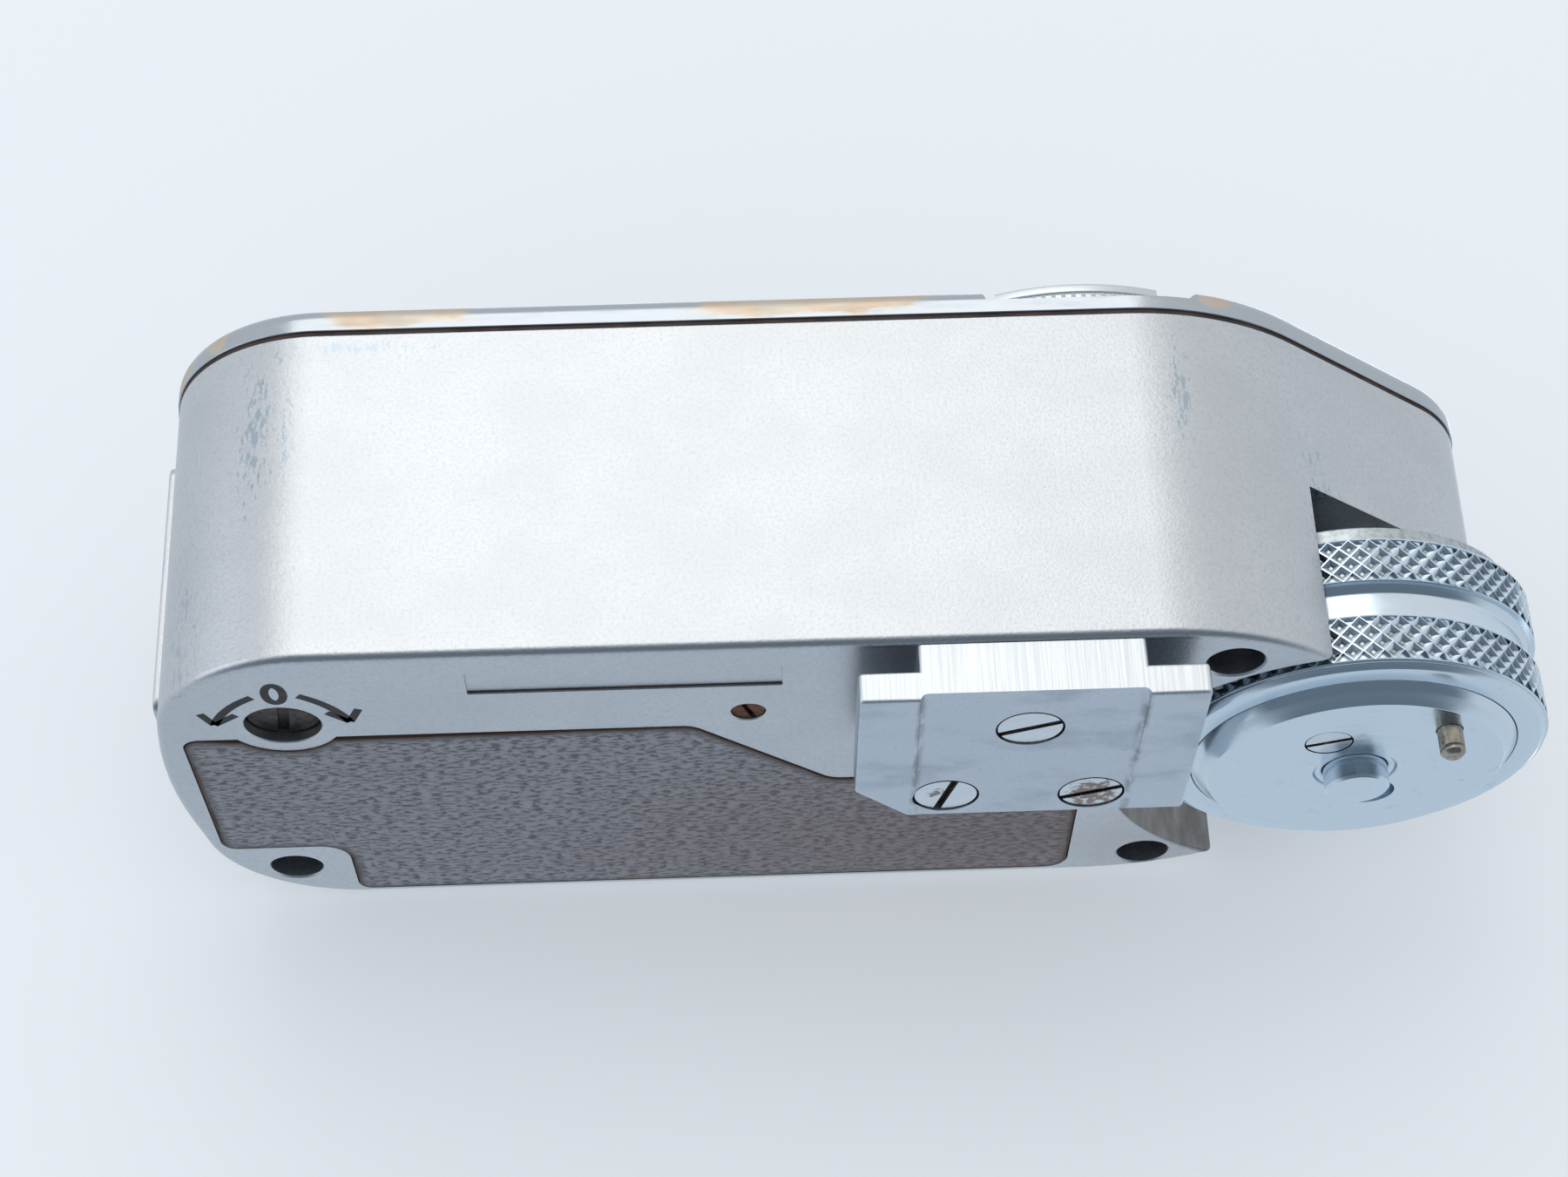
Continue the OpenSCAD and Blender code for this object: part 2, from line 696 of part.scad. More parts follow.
module jewel_screws() {
    color("#b08a4a") about_pivot() {
        difference() {
            post([0, 0], 1.2, lower_bridge_z - 0.6, arm_z + 0.4);
            post([0, 0], 0.3, lower_bridge_z + 1.2, arm_z + 1);
        }
        difference() {
            post([0, 0], 1.2, upper_bridge_z - 0.2, upper_bridge_z + 1.2);
            post([0, 0], 0.3, upper_bridge_z - 1, upper_bridge_z + 0.4);
        }
    }
}

module about_needle() {
    about_scale() rotate(-needle_sweep / 2) children();
}

module moving_coil() {
    color("#a5562e") about_needle() difference() {
        box([-coil_w / 2, -coil_r[1], coil_z[0]], [coil_w / 2, coil_r[1], coil_z[1]]);
        box([-coil_w, -coil_r[0], coil_z[0] + 0.6], [coil_w, coil_r[0], coil_z[1] - 0.6]);
    }
}

module coil_pivots() {
    color("#7d8286") about_pivot() {
        post([0, 0], 0.25, lower_bridge_z + 1.3, coil_z[0] - 0.4);
        post([0, 0], 0.5, coil_z[0] - 0.42, coil_z[0]);
        post([0, 0], 0.5, coil_z[1], coil_z[1] + 0.6);
        post([0, 0], 0.25, coil_z[1] + 0.58, upper_bridge_z + 0.3);
    }
}

module needle() {
    riser = 6.6;
    low = needle_low_z + 0.05;
    color("#20201f") about_needle() {
        tube([0, 0], 0.5, 1, low, low + 0.3);
        box([0.9, -0.25, low], [riser + 0.3, 0.25, low + 0.3]);
        box([riser, -0.25, low], [riser + 0.3, 0.25, needle_z]);
        box([riser, -0.25, needle_z - 0.3], [needle_len - 6, 0.25, needle_z]);
        box([needle_len - 6, -0.15, needle_z - 0.3], [needle_len, 0.15, needle_z]);
        box([-4.4, -0.25, low], [-0.9, 0.25, low + 0.3]);
        box([-4.4, -0.9, low], [-3.6, 0.9, low + 0.3]);
    }
}

module upper_hairspring() {
    color("#b08a4a") spiral(pivot_at, 0.6, 2.6, 3, 0.12, coil_z[1] + 0.02, coil_z[1] + 0.3, 90);
}

module lower_hairspring() {
    color("#b08a4a") spiral(pivot_at, 0.35, 2.6, 3, 0.12, arm_z + 0.45, arm_z + 0.75, 220);
}

// ---------- zero adjuster ----------

module zero_screw() {
    color("#6f6b66") difference() {
        union() {
            post(zero_at, 2.03, floor_z + 0.45, inside_z + 0.05);
            post(zero_at, 1.2, inside_z, inside_z + 1.5);
            post(zero_pin_at, 0.35, inside_z + 1.4, arm_z + 0.4);
        }
        translate([zero_at.x, zero_at.y, floor_z + 0.45]) rotate(15) cube([6, 0.6, 0.8], center = true);
    }
}

module zero_clip() {
    color("#6d7175") tube(zero_at, 1.2, 1.75, inside_z + 1.15, inside_z + 1.4);
}

module zero_arm() {
    pin = zero_pin_at - pivot_at;
    away = atan2(pin.y, pin.x);
    color("#b99b63") about_pivot() {
        tube([0, 0], 1.25, 2.1, arm_z, arm_z + 0.4);
        rotate(away) difference() {
            box([1.9, -1, arm_z], [norm(pin) + 1.1, 1, arm_z + 0.4]);
            box([norm(pin) - 0.8, -0.4, arm_z - 1], [norm(pin) + 2, 0.4, arm_z + 1]);
        }
        rotate(40) box([1.9, -0.4, arm_z], [2.9, 0.4, arm_z + 0.4]);
    }
}

body_shell();
leatherette();
foot();
foot_screws();
case_screws();
scale_post_screw();
end_plate();
end_plate_rivets();
top_cover();
scale_window();
scale_plate();
lens_panel();
front_bezel();
selenium_cell();
cell_contact_spring();
cell_leads();
series_resistor();
wheel();
wheel_plate();
plate_screw();
coupling_pin();
spindle();
lift_spring();
spindle_bush();
spindle_gear();
spindle_clip();
gear_plate();
gear_plate_screws();
idler_stud();
idler_gear();
dial_shaft();
dial_gear();
exposure_disc();
speed_disc();
dial_washer();
dial_screw();
magnet_yoke();
core_magnet();
core_bracket();
lower_bridge();
upper_bridge();
bridge_screws();
jewel_screws();
moving_coil();
coil_pivots();
needle();
upper_hairspring();
lower_hairspring();
zero_screw();
zero_clip();
zero_arm();
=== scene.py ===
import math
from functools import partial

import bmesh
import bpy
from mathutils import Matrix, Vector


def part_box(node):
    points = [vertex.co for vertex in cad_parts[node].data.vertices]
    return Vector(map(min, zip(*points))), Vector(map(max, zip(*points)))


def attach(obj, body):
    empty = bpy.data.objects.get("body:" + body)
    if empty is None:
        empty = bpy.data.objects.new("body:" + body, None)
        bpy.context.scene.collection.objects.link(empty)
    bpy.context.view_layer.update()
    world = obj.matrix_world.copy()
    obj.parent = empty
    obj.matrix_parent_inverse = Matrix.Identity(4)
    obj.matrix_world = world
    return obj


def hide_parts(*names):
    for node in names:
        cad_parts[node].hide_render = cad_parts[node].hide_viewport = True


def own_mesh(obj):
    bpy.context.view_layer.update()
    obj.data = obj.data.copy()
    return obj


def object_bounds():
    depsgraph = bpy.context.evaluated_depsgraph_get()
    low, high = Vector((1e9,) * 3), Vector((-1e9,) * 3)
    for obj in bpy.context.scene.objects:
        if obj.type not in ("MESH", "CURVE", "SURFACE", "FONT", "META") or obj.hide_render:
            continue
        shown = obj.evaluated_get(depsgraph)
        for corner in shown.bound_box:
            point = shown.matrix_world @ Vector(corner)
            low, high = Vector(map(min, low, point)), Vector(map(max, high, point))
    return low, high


bl_info = {
    "name": "Shoe-mounted light meter",
    "version": (1, 0, 0),
    "blender": (4, 5, 0),
    "location": "View3D > Sidebar > Light meter",
    "description": "Dresses the packed light meter: case, cover, foot, coupling wheel, dial and scale",
    "category": "Object",
}

from mathutils import Matrix, Vector, geometry

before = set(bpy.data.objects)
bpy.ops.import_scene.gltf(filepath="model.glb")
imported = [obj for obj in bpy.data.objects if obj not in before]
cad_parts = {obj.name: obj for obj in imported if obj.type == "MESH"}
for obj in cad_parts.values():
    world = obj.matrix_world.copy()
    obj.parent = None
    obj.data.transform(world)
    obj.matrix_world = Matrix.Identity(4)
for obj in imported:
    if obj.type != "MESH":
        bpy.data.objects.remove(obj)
CAD_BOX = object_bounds()

# ---------------------------------------------------------------------------
# Places, in millimetres. X runs to the wheel, Y to the light cell, Z to the dial.
# ---------------------------------------------------------------------------

MM = 0.001


def node_box(node):
    """Lowest and highest corner of a node, in millimetres."""
    low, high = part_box(node)
    return low / MM, high / MM


def middle(node):
    """Centre of a node in plan, in millimetres."""
    low, high = node_box(node)
    return ((low + high) / 2).xy


CASE_LOW, CASE_HIGH = node_box("body_shell")
COVER_LOW, COVER_HIGH = node_box("top_cover")
FOOT_LOW, FOOT_HIGH = node_box("foot")
DIAL_AT = middle("exposure_disc")
WHEEL_AT = middle("wheel")
ZERO_AT = middle("zero_clip")
PIVOT_AT = middle("core_magnet")
FLOOR_Z = CASE_LOW.z
REAR_Y = CASE_LOW.y
FRONT_Y = CASE_HIGH.y
WALL = 1.1
CASE_FLOOR = 1.2
DIAL_RECESS_Z = COVER_HIGH.z - 0.85

# Plan of the case: corners anticlockwise from the rear left, each with its radius
CASE_CORNERS = (
    (-45.9, REAR_Y), (12.2, REAR_Y), (28.1, 6.0), (28.1, 11.95), (9.9, FRONT_Y), (-45.6, FRONT_Y),
    (-47.9, 6.9),
)
CASE_RADII = (9, 15, 8.5, 3, 18, 8.7, 40)
INLAY_CORNERS = (
    (-45.85, 1.6), (-18, 1.6), (-10.3, 8.8), (4.15, 8.8), (4.15, 22.3), (-38.6, 22.3), (-38.6, 16),
    (-45.85, 16),
)
INLAY_RADII = (0.9, 1.6, 1.6, 0.8, 1.3, 0.8, 1.8, 0.9)
INLAY_DEPTH = 0.35
LABEL = (-29.9, -5.4, -13, -2.95)
ZERO_RING_R = 3.1
NOTCH_AT = WHEEL_AT + Vector((0, 2.3))
NOTCH_R = 13.4
NOTCH_TOP = 14.1
CASE_SCREW_SPOTS = ((-42, 18.9), (8.7, 20.6), (11.1, -4.0))
SCALE_SCREW_AT = Vector((-14.9, 0.1))
FOOT_SCREWS = ((0, -2.85, -22), (-4.15, 4.8, -76), (3.9, 4.95, -21))
CHANNEL_DEPTH = (0.44, 0.06)
NEEDLE_SWEEP = 44
SCALE_TURN = 9
SCALE_Z = 22.2
CELL_LOW = Vector((-38, 7))
CELL_HIGH = Vector((1, 20.6))


# ---------------------------------------------------------------------------
# Settings that a user would change
# ---------------------------------------------------------------------------


class MeterSizes(bpy.types.PropertyGroup):
    """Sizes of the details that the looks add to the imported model."""

    edge_radius: bpy.props.FloatProperty(
        name="Case edge", description="Radius of the case's lower edge", default=0.5 * MM, unit="LENGTH")
    cover_radius: bpy.props.FloatProperty(
        name="Cover edge", description="Radius of the top cover's edge", default=1.0 * MM, unit="LENGTH")
    knurl_pitch: bpy.props.FloatProperty(
        name="Knurl pitch", description="Distance between the knurl's pits round the wheel", default=1.1 * MM,
        unit="LENGTH")
    knurl_depth: bpy.props.FloatProperty(
        name="Knurl depth", description="Depth of the knurl's pits", default=0.24 * MM, unit="LENGTH")
    grain_length: bpy.props.FloatProperty(
        name="Grain length", description="Length of a pebble of the leatherette's grain", default=0.62 * MM,
        unit="LENGTH")
    grain_depth: bpy.props.FloatProperty(
        name="Grain depth", description="Depth of the grooves between the pebbles", default=0.09 * MM,
        unit="LENGTH")
    lens_pitch: bpy.props.FloatProperty(
        name="Lens pitch", description="Distance between the small lenses over the cell", default=2.6 * MM,
        unit="LENGTH")
    serrations: bpy.props.IntProperty(
        name="Serrations", description="Number of fine teeth round the exposure disc", default=150)


class MeterColours(bpy.types.PropertyGroup):
    """Colours of the meter's finishes, as sRGB hex values."""

    case_chrome: bpy.props.StringProperty(
        name="Case chrome", description="Satin chrome of the case", default="#C6C8CB")
    cover_chrome: bpy.props.StringProperty(
        name="Cover chrome", description="Bright chrome of the top cover", default="#B2B8BE")
    wheel_chrome: bpy.props.StringProperty(
        name="Wheel chrome", description="Turned chrome of the coupling wheel", default="#D5E0E9")
    foot_steel: bpy.props.StringProperty(
        name="Foot steel", description="Milled steel of the shoe foot", default="#C4CBD3")
    leatherette: bpy.props.StringProperty(
        name="Leatherette", description="Grain covering under the case", default="#80838D")


class MeterStage(bpy.types.PropertyGroup):
    """Camera and surroundings."""

    lens: bpy.props.FloatProperty(name="Lens", description="Focal length in millimetres", default=68.57)
    camera_at: bpy.props.FloatVectorProperty(
        name="Camera", description="Where the camera stands", default=(-0.01556, -0.14503, -0.06918),
        subtype="TRANSLATION", unit="LENGTH")
    azimuth: bpy.props.FloatProperty(
        name="Azimuth", description="Direction of view in plan, from +Y to +X", default=math.radians(1.126),
        unit="ROTATION")
    elevation: bpy.props.FloatProperty(
        name="Elevation", description="Upward tilt of the view", default=math.radians(28.88), unit="ROTATION")
    roll: bpy.props.FloatProperty(
        name="Roll", description="Turn of the camera about its view", default=math.radians(-2.26),
        unit="ROTATION")


# ---------------------------------------------------------------------------
# Shapes
# ---------------------------------------------------------------------------


def turned(point, angle):
    """A plan vector turned by an angle in radians."""
    return Vector((
        point.x * math.cos(angle) - point.y * math.sin(angle),
        point.x * math.sin(angle) + point.y * math.cos(angle),
    ))


def polar(radius, degrees):
    """Point at a distance and an angle in degrees from the origin."""
    return turned(Vector((radius, 0)), math.radians(degrees))


def corner_arc(before, corner, after, radius, step):
    """Points of the arc that rounds one corner, one for each step in degrees."""
    back = (before - corner).normalized()
    ahead = (after - corner).normalized()
    half = back.angle(ahead) / 2
    centre = corner + (back + ahead).normalized() * radius / math.sin(half)
    spoke = corner + back * radius / math.tan(half) - centre
    side = math.copysign(1, (corner - before).cross(after - corner))
    sweep = side * (math.pi - 2 * half)
    count = max(2, math.ceil(math.degrees(abs(sweep)) / step))
    return [centre + turned(spoke, sweep * k / count) for k in range(count + 1)]


def outline(corners, radii, inset=0, step=4):
    """Closed outline with rounded corners, drawn an inset inside the corners given anticlockwise."""
    points = [Vector(c) for c in corners]
    count = len(points)
    moved, sides = [], []
    for i, corner in enumerate(points):
        back = (points[i - 1] - corner).normalized()
        ahead = (points[(i + 1) % count] - corner).normalized()
        side = math.copysign(1, (corner - points[i - 1]).cross(points[(i + 1) % count] - corner))
        moved.append(corner + (back + ahead).normalized() * side * inset / math.sin(back.angle(ahead) / 2))
        sides.append(side)
    result = []
    for i, corner in enumerate(moved):
        radius = max(0.01, radii[i] - sides[i] * inset)
        result += corner_arc(moved[i - 1], corner, moved[(i + 1) % count], radius, step)
    return result


def rectangle(left, low, right, high):
    """Corners of an upright rectangle, anticlockwise."""
    return (left, low), (right, low), (right, high), (left, high)


def rounded(corners, radius, step=15):
    """An outline with the same rounding at every corner, as a function of its inset."""
    return lambda inset: outline(corners, (radius,) * len(corners), inset, step)


def circle(at, radius, segments=96):
    """Points round a circle."""
    return [Vector(at) + polar(radius, 360 * k / segments) for k in range(segments)]


def placed(u, v, w, plane):
    """A plane's own coordinates as a point: w is the height above the plane."""
    return {"XY": (u, v, w), "YZ": (w, u, v), "XZ": (u, w, v)}[plane]


def linked(name, data):
    """A new object in the scene."""
    piece = bpy.data.objects.new(name, data)
    bpy.context.scene.collection.objects.link(piece)
    return piece


def new_piece(name, points, faces):
    """A mesh object from points in millimetres, with its faces pointing outwards."""
    mesh = bpy.data.meshes.new(name)
    mesh.from_pydata([Vector(p) * MM for p in points], [], faces)
    work = bmesh.new()
    work.from_mesh(mesh)
    bmesh.ops.remove_doubles(work, verts=work.verts, dist=1e-8)
    bmesh.ops.recalc_face_normals(work, faces=work.faces)
    work.to_mesh(mesh)
    work.free()
    return linked(name, mesh)


def loft(name, rings, closed=False):
    """Skin over rings of equal length, with flat ends unless the rings close on themselves."""
    size = len(rings[0])
    points = [p for ring in rings for p in ring]
    spans = len(rings) if closed else len(rings) - 1
    faces = []
    for i in range(spans):
        low, high = i * size, (i + 1) % len(rings) * size
        faces += [(low + k, low + (k + 1) % size, high + (k + 1) % size, high + k) for k in range(size)]
    if not closed:
        faces += [tuple(range(size))[::-1], tuple(range(len(points) - size, len(points)))]
    return new_piece(name, points, faces)


def prism(name, shape, levels, plane="XY"):
    """Solid on an outline: shape gives the outline for an inset, and levels are (height, inset)."""
    return loft(name, [[placed(p.x, p.y, height, plane) for p in shape(inset)] for height, inset in levels])


def edge_levels(low, high, low_radius=0.0, high_radius=0.0, inset=0.0, steps=6):
    """Levels of a prism whose two rims are rounded."""
    levels = []
    for k in range(steps + 1 if low_radius else 0):
        angle = math.pi / 2 * k / steps
        levels.append((low + low_radius * (1 - math.sin(angle)), inset + low_radius * (1 - math.cos(angle))))
    levels = levels[::-1] if low_radius else [(low, inset)]
    levels = sorted(levels)
    if high_radius:
        for k in range(steps + 1):
            angle = math.pi / 2 * k / steps
            levels.append(
                (high - high_radius * (1 - math.sin(angle)), inset + high_radius * (1 - math.cos(angle))),
            )
    else:
        levels.append((high, inset))
    return levels


def lathe(name, at, section, radii=None, segments=128, axis="Z"):
    """Turned solid: a closed section of (radius, height), with a rounding for each of its corners."""
    if radii:
        section = [tuple(p) for p in outline(section, radii, step=20)]
    points, rows = [], []
    for radius, height in section:
        if radius < 0.02:
            rows.append([len(points)] * segments)
            points.append((0, 0, height))
        else:
            rows.append(list(range(len(points), len(points) + segments)))
            points += [(*polar(radius, 360 * k / segments), height) for k in range(segments)]
    faces = []
    for i, row in enumerate(rows):
        following = rows[(i + 1) % len(rows)]
        for k in range(segments):
            n = (k + 1) % segments
            face = list(dict.fromkeys((row[k], row[n], following[n], following[k])))
            if len(face) > 2:
                faces.append(face)
    if axis == "Z":
        points = [(p[0] + at[0], p[1] + at[1], p[2]) for p in points]
    else:
        points = [(p[2], p[0] + at[0], p[1] + at[1]) for p in points]
    return new_piece(name, points, faces)


def post(at, radius, low, high, segments=96, flare=0.0):
    """Plain round cutter, or one whose lower mouth opens by a flare to break the hole's edge."""
    section = [
        (0, low - 1), (radius + flare, low - 1), (radius + flare, low), (radius, low + flare),
        (radius, high), (0, high),
    ]
    if not flare:
        section = [(0, low), (radius, low), (radius, high), (0, high)]
    return lathe("cutter", at, section, segments=segments)


def block(low, high, name="cutter"):
    """Box between two corners, as a cutter or a core."""
    corners = [(low[0], low[1]), (high[0], low[1]), (high[0], high[1]), (low[0], high[1])]
    return loft(name, [[(*c, z) for c in corners] for z in (low[2], high[2])])


def bake(piece):
    """Turns what the modifiers make of a piece into its own mesh."""
    bpy.context.view_layer.update()
    made = bpy.data.meshes.new_from_object(piece.evaluated_get(bpy.context.evaluated_depsgraph_get()))
    piece.modifiers.clear()
    piece.data = made
    return piece


def combine(piece, others, operation):
    """Boolean of a piece with others, which are used up."""
    for other in others:
        step = piece.modifiers.new(operation.lower(), "BOOLEAN")
        step.operation = operation
        step.object = other
        step.solver = "EXACT"
    bake(piece)
    for other in others:
        bpy.data.objects.remove(other)
    return piece


def cut(piece, *cutters):
    """Takes the cutters out of a piece."""
    return combine(piece, cutters, "DIFFERENCE")


def join(name, pieces):
    """One piece from several, without welding them."""
    work = bmesh.new()
    for piece in pieces:
        work.from_mesh(piece.data)
    mesh = bpy.data.meshes.new(name)
    work.to_mesh(mesh)
    work.free()
    for piece in pieces:
        bpy.data.objects.remove(piece)
    return linked(name, mesh)


def mark(piece, name, rule):
    """Stores a value from 0 to 1 on each point of a piece, worked out from its place in millimetres."""
    values = [rule(v.co / MM) for v in piece.data.vertices]
    attribute = piece.data.attributes.new(name, "FLOAT", "POINT")
    attribute.data.foreach_set("value", values)


def settle(piece, name, material, body, slot, *nodes, crease=32):
    """Names a finished piece, gives it its finish and its body, and puts it in place of its nodes."""
    piece.name = piece.data.name = name
    piece.data.materials.clear()
    piece.data.materials.append(material)
    piece.data.shade_smooth()
    piece.data.set_sharp_from_angle(angle=math.radians(crease))
    piece.modifiers.new("flat_faces", "WEIGHTED_NORMAL").keep_sharp = True
    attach(piece, body)
    if nodes:
        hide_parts(*nodes)
    return piece


def dress(material, *nodes):
    """Gives CAD nodes that stay as they are a finish."""
    for node in nodes:
        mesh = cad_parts[node].data
        mesh.materials.clear()
        mesh.materials.append(material)


def numeral(text, height, at, degrees, low, thick):
    """A raised numeral that reads upwards along its radius, as a mesh in place."""
    curve = bpy.data.curves.new("numeral", "FONT")
    curve.body = text
    curve.size = height * MM
    curve.extrude = thick / 2 * MM
    curve.align_x = "CENTER"
    curve.align_y = "CENTER"
    curve.resolution_u = 3
    holder = linked("numeral", curve)
    bpy.context.view_layer.update()
    mesh = bpy.data.meshes.new_from_object(holder.evaluated_get(bpy.context.evaluated_depsgraph_get()))
    place = Matrix.Translation(Vector((at[0], at[1], low + thick / 2)) * MM)
    mesh.transform(place @ Matrix.Rotation(math.radians(degrees), 4, "Z"))
    bpy.data.objects.remove(holder)
    return linked("numeral", mesh)


# ---------------------------------------------------------------------------
# Node trees
# ---------------------------------------------------------------------------


def add(tree, kind, inputs=None, **settings):
    """Adds one node with its settings, and sets or links its inputs by name, identifier or number."""
    node = tree.nodes.new(kind)
    for key, value in settings.items():
        setattr(node, key, value)
    for key, value in (inputs or {}).items():
        by_id = [s for s in node.inputs if s.identifier == key]
        socket = by_id[0] if by_id else node.inputs[key]
        feed(tree, value, socket)
    return node


def feed(tree, value, socket):
    """Links a node's live output or a given one to a socket, or sets a plain value on it."""
    if isinstance(value, bpy.types.Node):
        value = next(s for s in value.outputs if s.enabled)
    if isinstance(value, bpy.types.NodeSocket):
        tree.links.new(value, socket)
    else:
        socket.default_value = value


def blank(owner):
    """Empties a material's or a world's node tree, and gives it with the function that adds nodes to it."""
    owner.use_nodes = True
    owner.node_tree.nodes.clear()
    return owner.node_tree, partial(add, owner.node_tree)


def new_tree(name, sockets):
    """A geometry tree with named inputs, its group input and a function that adds nodes to it."""
    tree = bpy.data.node_groups.new(name, "GeometryNodeTree")
    for label, kind in sockets:
        tree.interface.new_socket(label, in_out="INPUT", socket_type="NodeSocket" + kind)
    tree.interface.new_socket("Mesh", in_out="OUTPUT", socket_type="NodeSocketGeometry")
    put = partial(add, tree)
    return tree, put("NodeGroupInput").outputs, put


def end_tree(put, made, material):
    """Realises the instances, sets the material and gives the mesh out."""
    real = put("GeometryNodeRealizeInstances", {"Geometry": made})
    finished = put("GeometryNodeSetMaterial", {"Geometry": real.outputs["Geometry"], "Material": material})
    put("NodeGroupOutput", {"Mesh": finished.outputs["Geometry"]})


def rings_tree():
    """Rows of a small piece round an axis, each row turned half a step from the last."""
    tree, given, put = new_tree(
        "rings_of_pieces",
        [
            ("Piece", "Object"), ("Centre", "Vector"), ("Radius", "Float"), ("Row gap", "Float"),
            ("Round", "Int"), ("Rows", "Int"), ("Material", "Material"),
        ],
    )
    total = put("ShaderNodeMath", {0: given["Round"], 1: given["Rows"]}, operation="MULTIPLY")
    points = put("GeometryNodePoints", {"Count": total.outputs[0]})
    index = put("GeometryNodeInputIndex")
    share = put("ShaderNodeMath", {0: index.outputs[0], 1: given["Round"]}, operation="DIVIDE")
    row = put("ShaderNodeMath", {0: share.outputs[0]}, operation="FLOOR")
    stagger = put("ShaderNodeMath", {
        0: row.outputs[0], 1: 0.5, 2: index.outputs[0],
    }, operation="MULTIPLY_ADD")
    part = put("ShaderNodeMath", {0: stagger.outputs[0], 1: given["Round"]}, operation="DIVIDE")
    angle = put("ShaderNodeMath", {0: part.outputs[0], 1: math.tau}, operation="MULTIPLY")
    turn = put("ShaderNodeCombineXYZ", {"Z": angle.outputs[0]})
    spoke = put("ShaderNodeCombineXYZ", {"X": given["Radius"]})
    across = put("ShaderNodeVectorRotate", {"Vector": spoke.outputs[0], "Angle": angle.outputs[0]},
                 rotation_type="Z_AXIS")
    height = put("ShaderNodeMath", {0: row.outputs[0], 1: given["Row gap"]}, operation="MULTIPLY")
    rise = put("ShaderNodeCombineXYZ", {"Z": height.outputs[0]})
    raised = put("ShaderNodeVectorMath", {0: across.outputs[0], 1: rise.outputs[0]}, operation="ADD")
    place = put("ShaderNodeVectorMath", {0: raised.outputs[0], 1: given["Centre"]}, operation="ADD")
    spread = put("GeometryNodeSetPosition", {"Geometry": points.outputs[0], "Position": place.outputs[0]})
    small = put("GeometryNodeObjectInfo", {"Object": given["Piece"]})
    rotation = put("FunctionNodeEulerToRotation", {0: turn.outputs[0]})
    set_out = put("GeometryNodeInstanceOnPoints", {
        "Points": spread.outputs[0], "Instance": small.outputs["Geometry"], "Rotation": rotation.outputs[0],
    })
    end_tree(put, set_out.outputs[0], given["Material"])
    return tree


def spots_tree():
    """A small piece on every point of the geometry, turned about Z by the point's own turn."""
    tree, given, put = new_tree("pieces_on_spots", [
        ("Spots", "Geometry"), ("Piece", "Object"), ("Material", "Material"),
    ])
    turn = put("GeometryNodeInputNamedAttribute", {"Name": "turn"}, data_type="FLOAT")
    euler = put("ShaderNodeCombineXYZ", {"Z": turn.outputs["Attribute"]})
    rotation = put("FunctionNodeEulerToRotation", {0: euler.outputs[0]})
    small = put("GeometryNodeObjectInfo", {"Object": given["Piece"]})
    set_out = put("GeometryNodeInstanceOnPoints", {
        "Points": given["Spots"], "Instance": small.outputs["Geometry"], "Rotation": rotation.outputs[0],
    })
    end_tree(put, set_out.outputs[0], given["Material"])
    return tree


def grain_tree():
    """Long pebbles pressed into a sheet's lower face, fading out where its rim value falls to 0."""
    tree, given, put = new_tree("pebble_grain", [
        ("Sheet", "Geometry"), ("Length", "Float"), ("Depth", "Float"), ("Material", "Material"),
    ])
    place = put("GeometryNodeInputPosition")
    drift = put("ShaderNodeTexNoise", {"Vector": place.outputs[0], "Scale": 450.0, "Detail": 2.0})
    bend = put("ShaderNodeVectorMath", {
        0: drift.outputs["Color"], 1: (0.0002, 8e-05, 0.0),
    }, operation="MULTIPLY")
    bent = put("ShaderNodeVectorMath", {0: place.outputs[0], 1: bend.outputs[0]}, operation="ADD")
    size = put("ShaderNodeMath", {0: 1.0, 1: given["Length"]}, operation="DIVIDE")
    scale = put("ShaderNodeVectorMath", {0: bent.outputs[0], "Scale": size.outputs[0]}, operation="SCALE")
    narrow = put("ShaderNodeVectorMath", {0: scale.outputs[0], 1: (1.0, 3.4, 0.0)}, operation="MULTIPLY")
    dashes = put("ShaderNodeTexNoise", {"Vector": narrow.outputs[0], "Scale": 1.0, "Detail": 1.0})
    dome = put("ShaderNodeMapRange", {"Value": dashes.outputs["Fac"], "From Min": 0.4, "From Max": 0.56},
               interpolation_type="SMOOTHSTEP")
    rim = put("GeometryNodeInputNamedAttribute", {"Name": "rim"}, data_type="FLOAT")
    lift = put("ShaderNodeMath", {0: dome.outputs[0], 1: rim.outputs["Attribute"]}, operation="MULTIPLY")
    depth = put("ShaderNodeMath", {0: lift.outputs[0], 1: given["Depth"]}, operation="MULTIPLY")
    down = put("ShaderNodeMath", {0: depth.outputs[0], 1: -1.0}, operation="MULTIPLY")
    offset = put("ShaderNodeCombineXYZ", {"Z": down.outputs[0]})
    pressed = put("GeometryNodeSetPosition", {"Geometry": given["Sheet"], "Offset": offset.outputs[0]})
    end_tree(put, pressed.outputs[0], given["Material"])
    return tree


def spring_tree():
    """Round wire wound along a helix."""
    tree, given, put = new_tree("wound_spring", [
        ("Centre", "Vector"), ("Radius", "Float"), ("Height", "Float"), ("Turns", "Float"), ("Wire", "Float"),
        ("Material", "Material"),
    ])
    helix = put("GeometryNodeCurveSpiral", {
        "Resolution": 40, "Rotations": given["Turns"], "Start Radius": given["Radius"],
        "End Radius": given["Radius"], "Height": given["Height"],
    })
    ring = put("GeometryNodeCurvePrimitiveCircle", {"Resolution": 12, "Radius": given["Wire"]})
    wire = put("GeometryNodeCurveToMesh", {
        "Curve": helix.outputs[0], "Profile Curve": ring.outputs[0], "Fill Caps": True,
    })
    moved = put("GeometryNodeTransform", {"Geometry": wire.outputs[0], "Translation": given["Centre"]})
    end_tree(put, moved.outputs[0], given["Material"])
    return tree


TREES = {}


